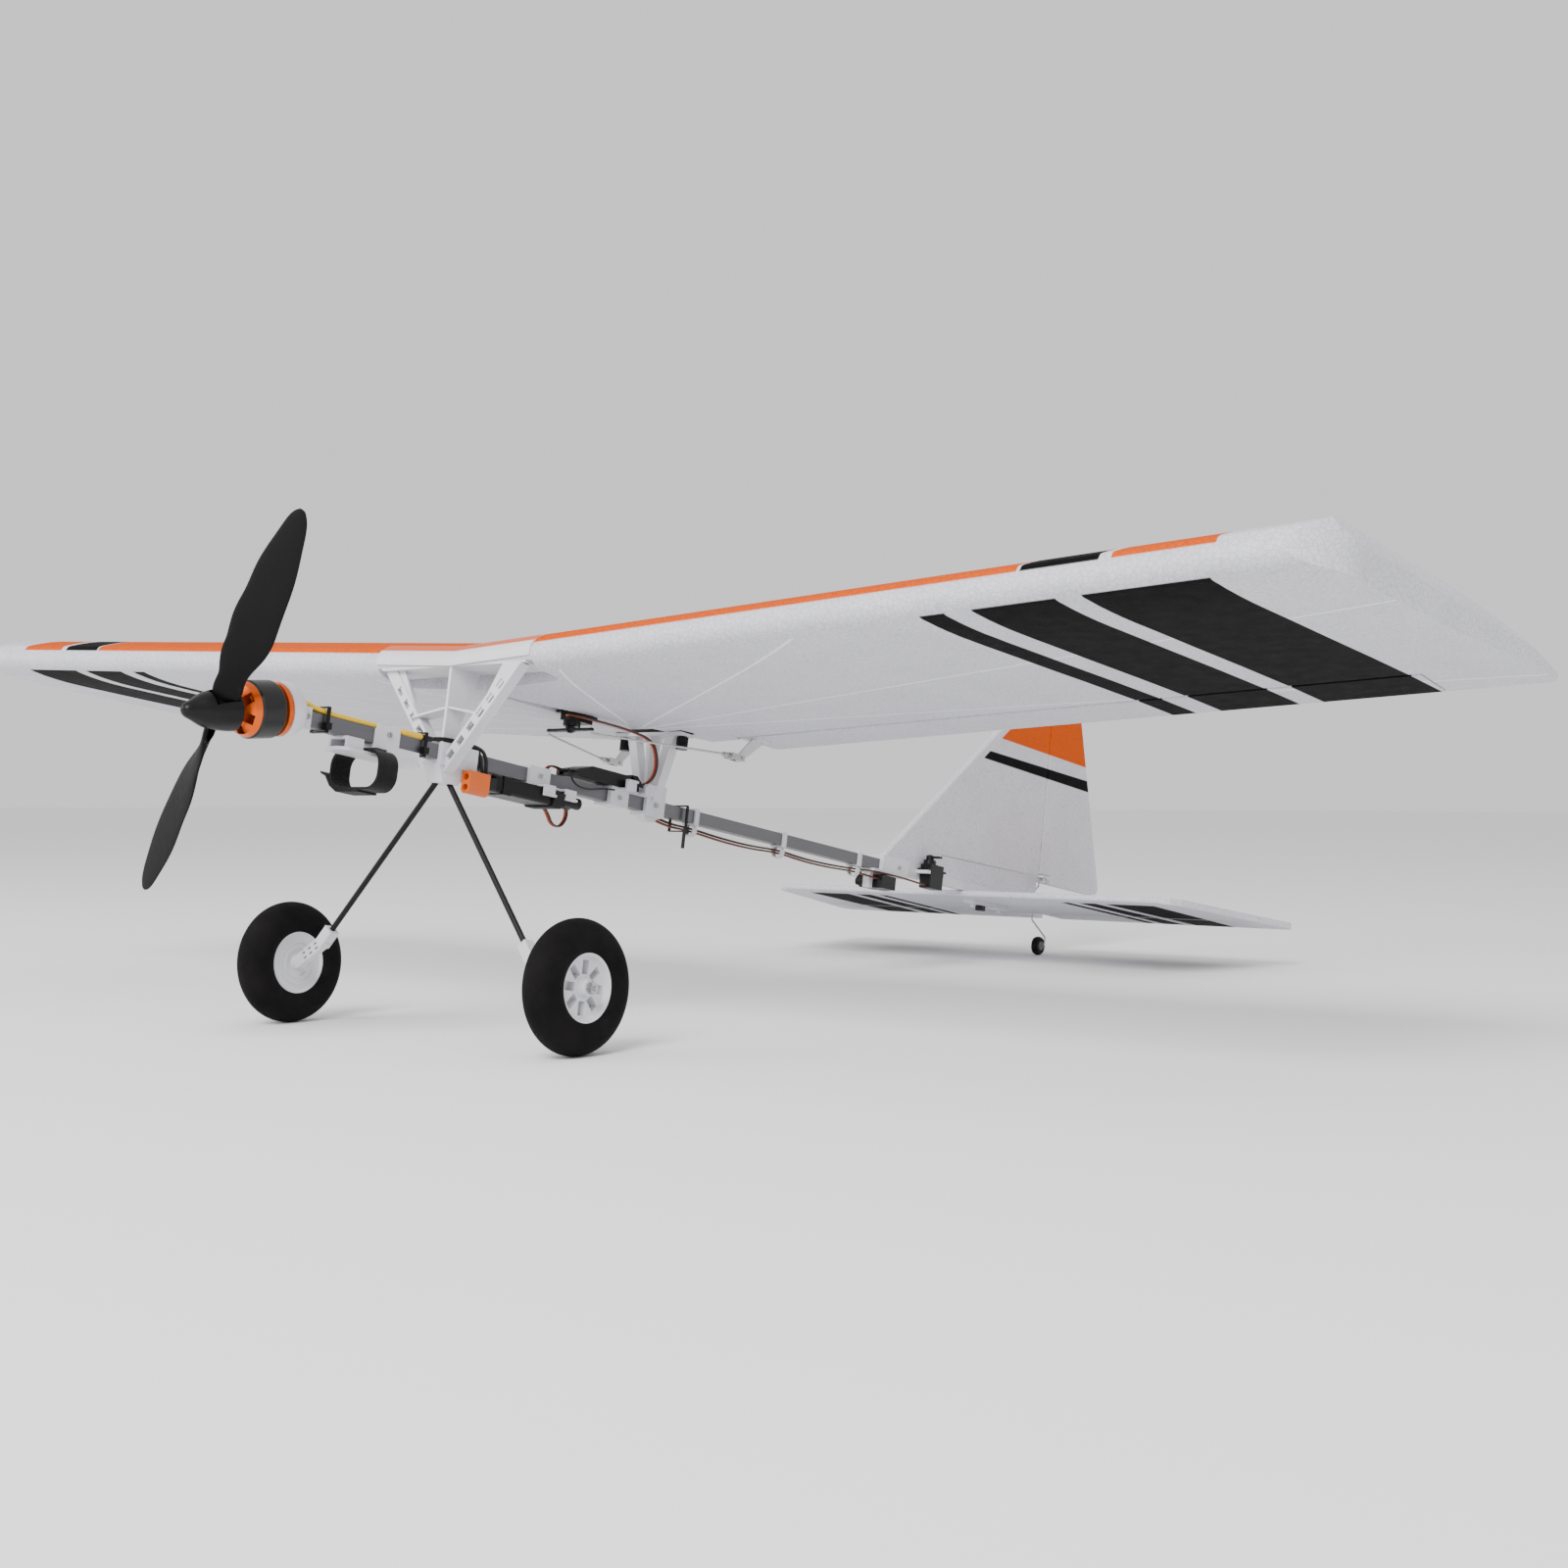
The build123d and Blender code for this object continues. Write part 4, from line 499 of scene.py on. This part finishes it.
def finish_nodes():
    """Gives every CAD node its finish."""
    wing = bead_foam("wing_foam", wing_print)
    fin = bead_foam("fin_foam", fin_print)
    stab = bead_foam("stab_foam", stab_print)
    nylon = plastic("white_nylon", WHITE_NYLON, 0.40)
    smooth_white = plastic("smooth_white", SMOOTH_WHITE, 0.36, mottle=0.03)
    black = plastic("black_plastic", MOULDED_BLACK, 0.36, specular=0.22)
    prop = plastic("propeller_black", PROPELLER_BLACK, 0.5, grain=1200.0, depth=0.00004,
                   specular=0.12)
    servo_black = plastic("servo_black", CASE_BLACK, 0.34, specular=0.25)
    case = plastic("receiver_black", CASE_BLACK, 0.4, specular=0.25)
    orange_plug = plastic("orange_plug", PLUG_ORANGE, 0.4)
    shrink = plastic("black_shrink", SHRINK_BLACK, 0.36, specular=0.22)
    stick = metal("drawn_aluminium", ALUMINIUM, 0.40, brushed=STICK_GRAIN)
    orange = metal("orange_anodised", MOTOR_ORANGE, 0.3, metallic=0.75)
    ring = metal("black_ring", RING_BLACK, 0.34, metallic=0.25)
    leg = plastic("black_leg", LEG_BLACK, 0.42, grain=1500.0, specular=0.22)
    steel = metal("steel_wire", STEEL, 0.28)
    rubber_black = rubber("black_rubber", RUBBER_BLACK)
    finishes = {
        wing: ["wing_port", "wing_starboard", "aileron_port", "aileron_starboard"],
        fin: ["fin", "rudder"],
        stab: ["stabiliser", "elevator"],
        cap_finish("cap_white"): ["leading_cap"],
        smooth_white: ["wheel_hub_port", "wheel_hub_starboard"],
        nylon: ["aileron_fittings_port", "aileron_fittings_starboard", "surface_hinges",
                "motor_mount", "battery_tray", "front_pylon", "rear_pylon", "axle_brackets",
                "clip_holders", "wire_rings", "tail_mount", "elevator_fittings",
                "rudder_fittings"],
        black: ["spinner", "cable_ties", "pylon_knobs", "aileron_servo_arm", "rudder_servo_arm",
                "elevator_servo_arm"],
        prop: ["propeller"],
        servo_black: ["aileron_servo", "tail_servos"],
        case: ["receiver"],
        tail_wheel_finish("tail_wheel_finish"): ["tail_wheel"],
        orange_plug: ["battery_connector"],
        shrink: ["esc"],
        stick: ["stick"],
        orange: ["motor_base", "motor_bell"],
        ring: ["flux_ring"],
        leg: ["gear_legs"],
        steel: ["motor_shaft", "axles", "aileron_rod_port", "aileron_rod_starboard", "rudder_rod",
                "elevator_rod", "tail_wheel_wire", "clip_screws"],
        # rear_pylon_pad is a black layer filling the gap between the rear pylon's top plate and the
        # wing.
        rubber_black: ["holder_straps", "rear_pylon_pad"],
        foam_tyre("tyre_foam"): ["tyre_port", "tyre_starboard"],
        woven("strap_loops", STRAP_BLACK): ["battery_strap"],
    }
    for material, names in finishes.items():
        for name in names:
            node = NODES[name]
            node.data.materials.clear()
            node.data.materials.append(material)


finish_nodes()

# ---------------------------------------------------------------- leads
# Routes run through points in airframe millimetres.

STRAND_PITCH = 1.4
STRAND_RADIUS = 0.65
MOTOR_LEAD_RADIUS = 1.5
MOTOR_LEAD_SIDES = (-4.4, 0.0, 4.4)
CONNECTOR_HEIGHT = 7.1
SLEEVE_FRONT = -78.0
SLEEVE_PROFILE = ((0.0, 1.6), (0.8, 2.05), (9.0, 2.1), (17.2, 2.05), (18.0, 1.9))
BULLET_FRONT = -96.0
BULLET_PROFILE = ((0.0, 1.85), (0.5, 1.9), (9.2, 1.9), (10.0, 1.4))
AFT = (-1, 0, 0)
LATHE_SEGMENTS = 40

CONTROLLER_LEAD_RADIUS = 1.3
CONTROLLER_ROUTES = (
    ((-106.8, -4.4, 7.3), (-111.4, -4.2, 10.0), (-147.0, -6.2, 9.7), (-151.0, -8.6, 3.0),
     (-154.6, -8.8, -6.0), (-158.7, -7.6, -11.0)),
    ((-106.8, 0.0, 7.3), (-111.4, 2.6, 10.0), (-146.0, 4.6, 9.7), (-149.4, 7.8, 3.0),
     (-151.4, 7.6, -6.0), (-158.7, 3.0, -11.0)),
    ((-106.8, 4.4, 7.3), (-111.4, 5.4, 10.0), (-148.6, 7.4, 9.7), (-154.2, 8.4, 3.0),
     (-155.2, 8.0, -6.0), (-158.7, 6.6, -11.5)),
)

SIGNAL_ROUTE = (
    (-233.0, -11.6, -15.2), (-240.0, -11.6, -20.0), (-246.0, -11.6, -29.0),
    (-256.0, -11.6, -29.5), (-262.0, -11.6, -20.0), (-258.0, -11.6, -9.0),
    (-246.0, -10.8, -3.0), (-236.0, -10.0, 2.0), (-231.0, -9.2, 9.0), (-235.5, -8.4, 14.2),
    (-244.5, -7.6, 12.4),
)
AILERON_ROUTE = (
    (-236.4, 3.0, 50.0), (-231.0, 6.4, 50.1), (-238.0, 10.6, 50.2), (-252.0, 11.4, 50.4),
    (-292.0, 11.6, 51.0), (-322.0, 11.8, 48.6), (-329.6, 12.0, 36.0), (-330.0, 11.6, 23.0),
    (-324.0, 8.6, 14.0), (-314.4, 6.0, 11.4),
)
ELEVATOR_ROUTE = (
    (-314.4, -6.6, 9.2), (-320.5, -10.4, 9.6), (-332.0, -13.8, 7.6), (-351.0, -12.4, -4.0),
    (-367.0, -6.8, -10.4), (-393.0, 0.0, -11.0), (-432.0, 0.0, -13.2), (-474.0, 0.0, -13.5),
    (-513.0, 0.0, -11.0), (-552.0, 0.0, -13.3), (-592.0, 0.0, -13.0), (-629.0, 0.0, -11.0),
    (-644.0, 5.0, -12.8), (-656.3, 8.8, -14.0),
)
RUDDER_ROUTE = (
    (-314.4, -6.6, 11.8), (-320.5, -10.4, 12.2), (-332.5, -14.2, 10.6), (-354.0, -12.6, -1.8),
    (-370.0, -6.6, -8.2), (-393.0, 0.0, -8.8), (-431.0, 0.0, -10.8), (-473.0, 0.0, -11.2),
    (-513.0, 0.0, -8.8), (-551.0, 0.0, -11.0), (-590.0, 0.0, -10.7), (-629.0, 0.0, -8.8),
    (-638.0, 6.6, -8.6), (-648.0, 12.0, -8.4), (-670.0, 12.6, -8.3), (-706.0, 12.0, -8.8),
    (-724.0, 11.6, -9.6), (-733.3, 11.4, -9.5),
)
AERIAL_RADIUS = 0.7
AERIAL_ROUTE = (
    (-244.5, 5.0, 10.6), (-237.0, 8.5, 12.0), (-233.5, 13.5, 7.5), (-236.0, 16.5, -0.5),
    (-250.0, 16.5, -2.5), (-272.0, 13.5, 2.5), (-284.0, 13.0, 3.4),
)


def lead(name, route, radius, material, node):
    """Free lead through the route's points, at its real length in metres."""
    curve = bpy.data.curves.new(name, "CURVE")
    curve.dimensions = "3D"
    curve.bevel_depth = radius * MM
    curve.bevel_resolution = 3
    curve.resolution_u = 10
    curve.use_fill_caps = True
    spline = curve.splines.new("NURBS")
    spline.points.add(len(route) - 1)
    for point, place in zip(spline.points, route):
        point.co = (*at(*place), 1.0)
    spline.order_u = 3
    spline.use_endpoint_u = True
    piece = bpy.data.objects.new(name, curve)
    bpy.context.collection.objects.link(piece)
    curve.materials.append(material)
    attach(piece, "airframe")
    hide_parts(node)


def ribbon(name, route, colours, node):
    """Three strands side by side along one route."""
    for index, colour in enumerate(colours):
        side = STRAND_PITCH * (index - 1)
        strand = [(x, y + side, z) for x, y, z in route]
        lead(f"{name}_{index + 1}", strand, STRAND_RADIUS, colour, node)


def mesh_piece(name, points, faces, material):
    """Rigid piece on the airframe, from its corner points and faces."""
    mesh = bpy.data.meshes.new(name)
    mesh.from_pydata(points, [], faces)
    mesh.update()
    piece = bpy.data.objects.new(name, mesh)
    bpy.context.collection.objects.link(piece)
    mesh.materials.append(material)
    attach(piece, "airframe")
    return piece


def lathe(name, start, axis, profile, material):
    """Turned piece on a straight axis, from (distance along, radius) points in millimetres."""
    direction = along(*axis).normalized()
    across = direction.orthogonal().normalized()
    other = direction.cross(across)
    centre = at(*start)
    points = []
    for distance, radius in profile:
        for index in range(LATHE_SEGMENTS):
            angle = 2 * math.pi * index / LATHE_SEGMENTS
            rim = across * math.cos(angle) + other * math.sin(angle)
            points.append(centre + direction * (distance * MM) + rim * (radius * MM))
    faces = []
    for first in range(0, (len(profile) - 1) * LATHE_SEGMENTS, LATHE_SEGMENTS):
        for index in range(LATHE_SEGMENTS):
            following = (index + 1) % LATHE_SEGMENTS
            faces.append((first + index, first + following,
                          first + LATHE_SEGMENTS + following, first + LATHE_SEGMENTS + index))
    faces.append(tuple(reversed(range(LATHE_SEGMENTS))))
    faces.append(tuple(range(len(points) - LATHE_SEGMENTS, len(points))))
    piece = mesh_piece(name, points, faces, material)
    for face in piece.data.polygons:
        face.use_smooth = len(face.vertices) == 4
    return piece


def soft_block(name, x_range, y_range, z_range, corner, material):
    """Block with rounded edges, in airframe millimetres."""
    points = [at(x, y, z) for x in x_range for y in y_range for z in z_range]
    faces = [(0, 1, 3, 2), (4, 6, 7, 5), (0, 4, 5, 1), (2, 3, 7, 6), (0, 2, 6, 4), (1, 5, 7, 3)]
    piece = mesh_piece(name, points, faces, material)
    bevel = piece.modifiers.new("rounding", "BEVEL")
    bevel.width = corner * MM
    bevel.segments = 4
    return piece


def motor_leads():
    """Three yellow-sleeved motor leads, each ending in a bullet connector in heat-shrink."""
    yellow = plastic("yellow_sleeve", SLEEVE_YELLOW, 0.35)
    black = plastic("bullet_shrink", BULLET_BLACK, 0.36, specular=0.35)
    for number, y in enumerate(MOTOR_LEAD_SIDES, start=1):
        route = ((20.5, y * 0.8, 11.0), (3.0, y * 0.8, 10.4), (-9.0, y * 0.9, 6.9),
                 (-44.0, y, 6.55), (SLEEVE_FRONT, y, CONNECTOR_HEIGHT))
        sleeve = lathe(f"motor_bullet_sleeve_{number}", (SLEEVE_FRONT, y, CONNECTOR_HEIGHT), AFT,
                       SLEEVE_PROFILE, yellow)
        bullet = lathe(f"motor_bullet_{number}", (BULLET_FRONT, y, CONNECTOR_HEIGHT), AFT,
                       BULLET_PROFILE, black)
        for piece in (sleeve, bullet):
            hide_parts("motor_wires")
        lead(f"motor_lead_{number}", route, MOTOR_LEAD_RADIUS, yellow,
             "motor_wires")


def controller_leads():
    """Three black leads over the saddle to the controller, and the boot of the battery plug."""
    black = rubber("lead_black", RUBBER_BLACK, 0.5)
    for number, route in enumerate(CONTROLLER_ROUTES, start=1):
        lead(f"controller_lead_{number}", route, CONTROLLER_LEAD_RADIUS, black,
             "esc_leads")
    boot = soft_block("battery_boot", (-152.0, -160.0), (9.4, 16.0), (-19.5, -10.2), 1.6, black)
    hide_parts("esc_leads")


def servo_ribbons():
    """Three-strand servo leads: controller signal, aileron, elevator and rudder; and the aerial."""
    strands = [plastic(f"strand_{name}", colour, 0.45) for name, colour in STRAND_COLOURS.items()]
    black = rubber("aerial_black", RUBBER_BLACK, 0.5)
    ribbon("signal_lead", SIGNAL_ROUTE, strands, "esc_leads")
    ribbon("aileron_servo_lead", AILERON_ROUTE, strands, "receiver_leads")
    ribbon("elevator_servo_lead", ELEVATOR_ROUTE, strands, "servo_leads")
    ribbon("rudder_servo_lead", RUDDER_ROUTE, strands, "servo_leads")
    lead("aerial", AERIAL_ROUTE, AERIAL_RADIUS, black, "receiver_leads")


def tail_clip():
    """Black clip round the keel under the middle of the stabiliser."""
    black = plastic("clip_black", CLIP_BLACK, 0.38, specular=0.3)
    soft_block("tail_clip", (-855.0, -863.5), (-3.6, 3.6), (-19.5, -10.0), 0.8, black)


motor_leads()
controller_leads()
servo_ribbons()
tail_clip()

# ---------------------------------------------------------------- floor, light and camera

FLOOR_SIZE = 60.0
WORLD_STRENGTH = 0.95
LIGHT_AIM = (0.2, 0.0, 0.2)
LIGHT_SIZE = 1.6
LIGHTS = (                         # name, place, power in watts
    ("key", (3.0, 0.9, 2.4), 150.0),
    ("side", (2.4, -2.2, 1.4), 30.0),
)
CAMERA_PLACE = (720.8, 911.1, -170.8)
CAMERA_RIGHT = (-0.6138, 0.7826, 0.1039)
CAMERA_AIM = (-0.7773, -0.6221, 0.0943)
CAMERA_SENSOR = 36.0
CAMERA_LENS = 41.82
CAMERA_SHIFT = (0.0499, 0.0500)
CAMERA_CLIP = (0.01, 100.0)


def stage():
    """Plain pale floor with soft studio light."""
    bpy.ops.mesh.primitive_plane_add(size=FLOOR_SIZE, location=(0.0, 0.0, 0.0))
    floor = bpy.context.object
    floor.name = "floor"
    shader = Shader("floor_white", 0.9, specular=0.1, colour=FLOOR_WHITE)
    floor.data.materials.append(shader.mat)

    world = bpy.data.worlds.new("studio")
    bpy.context.scene.world = world
    world.use_nodes = True
    background = world.node_tree.nodes["Background"]
    background.inputs["Color"].default_value = (1.0, 1.0, 1.0, 1.0)
    background.inputs["Strength"].default_value = WORLD_STRENGTH

    for name, place, power in LIGHTS:
        light = bpy.data.lights.new(name, "AREA")
        light.energy = power
        light.size = LIGHT_SIZE
        lamp = bpy.data.objects.new(name, light)
        lamp.location = place
        aim = Vector(LIGHT_AIM) - Vector(place)
        lamp.rotation_euler = aim.to_track_quat("-Z", "Y").to_euler()
        bpy.context.collection.objects.link(lamp)


def camera():
    """Camera ahead of the aircraft, out to port and below the wing, looking back at it."""
    place = at(*CAMERA_PLACE)
    right = along(*CAMERA_RIGHT).normalized()
    back = -along(*CAMERA_AIM).normalized()
    up = back.cross(right).normalized()
    right = up.cross(back)
    lens = bpy.data.cameras.new("camera")
    lens.sensor_width = CAMERA_SENSOR
    lens.lens = CAMERA_LENS
    lens.shift_x, lens.shift_y = CAMERA_SHIFT
    lens.clip_start, lens.clip_end = CAMERA_CLIP
    view = bpy.data.objects.new("camera", lens)
    view.matrix_world = Matrix.Translation(place) @ Matrix((right, up, back)).transposed().to_4x4()
    bpy.context.collection.objects.link(view)
    bpy.context.scene.camera = view


stage()
camera()
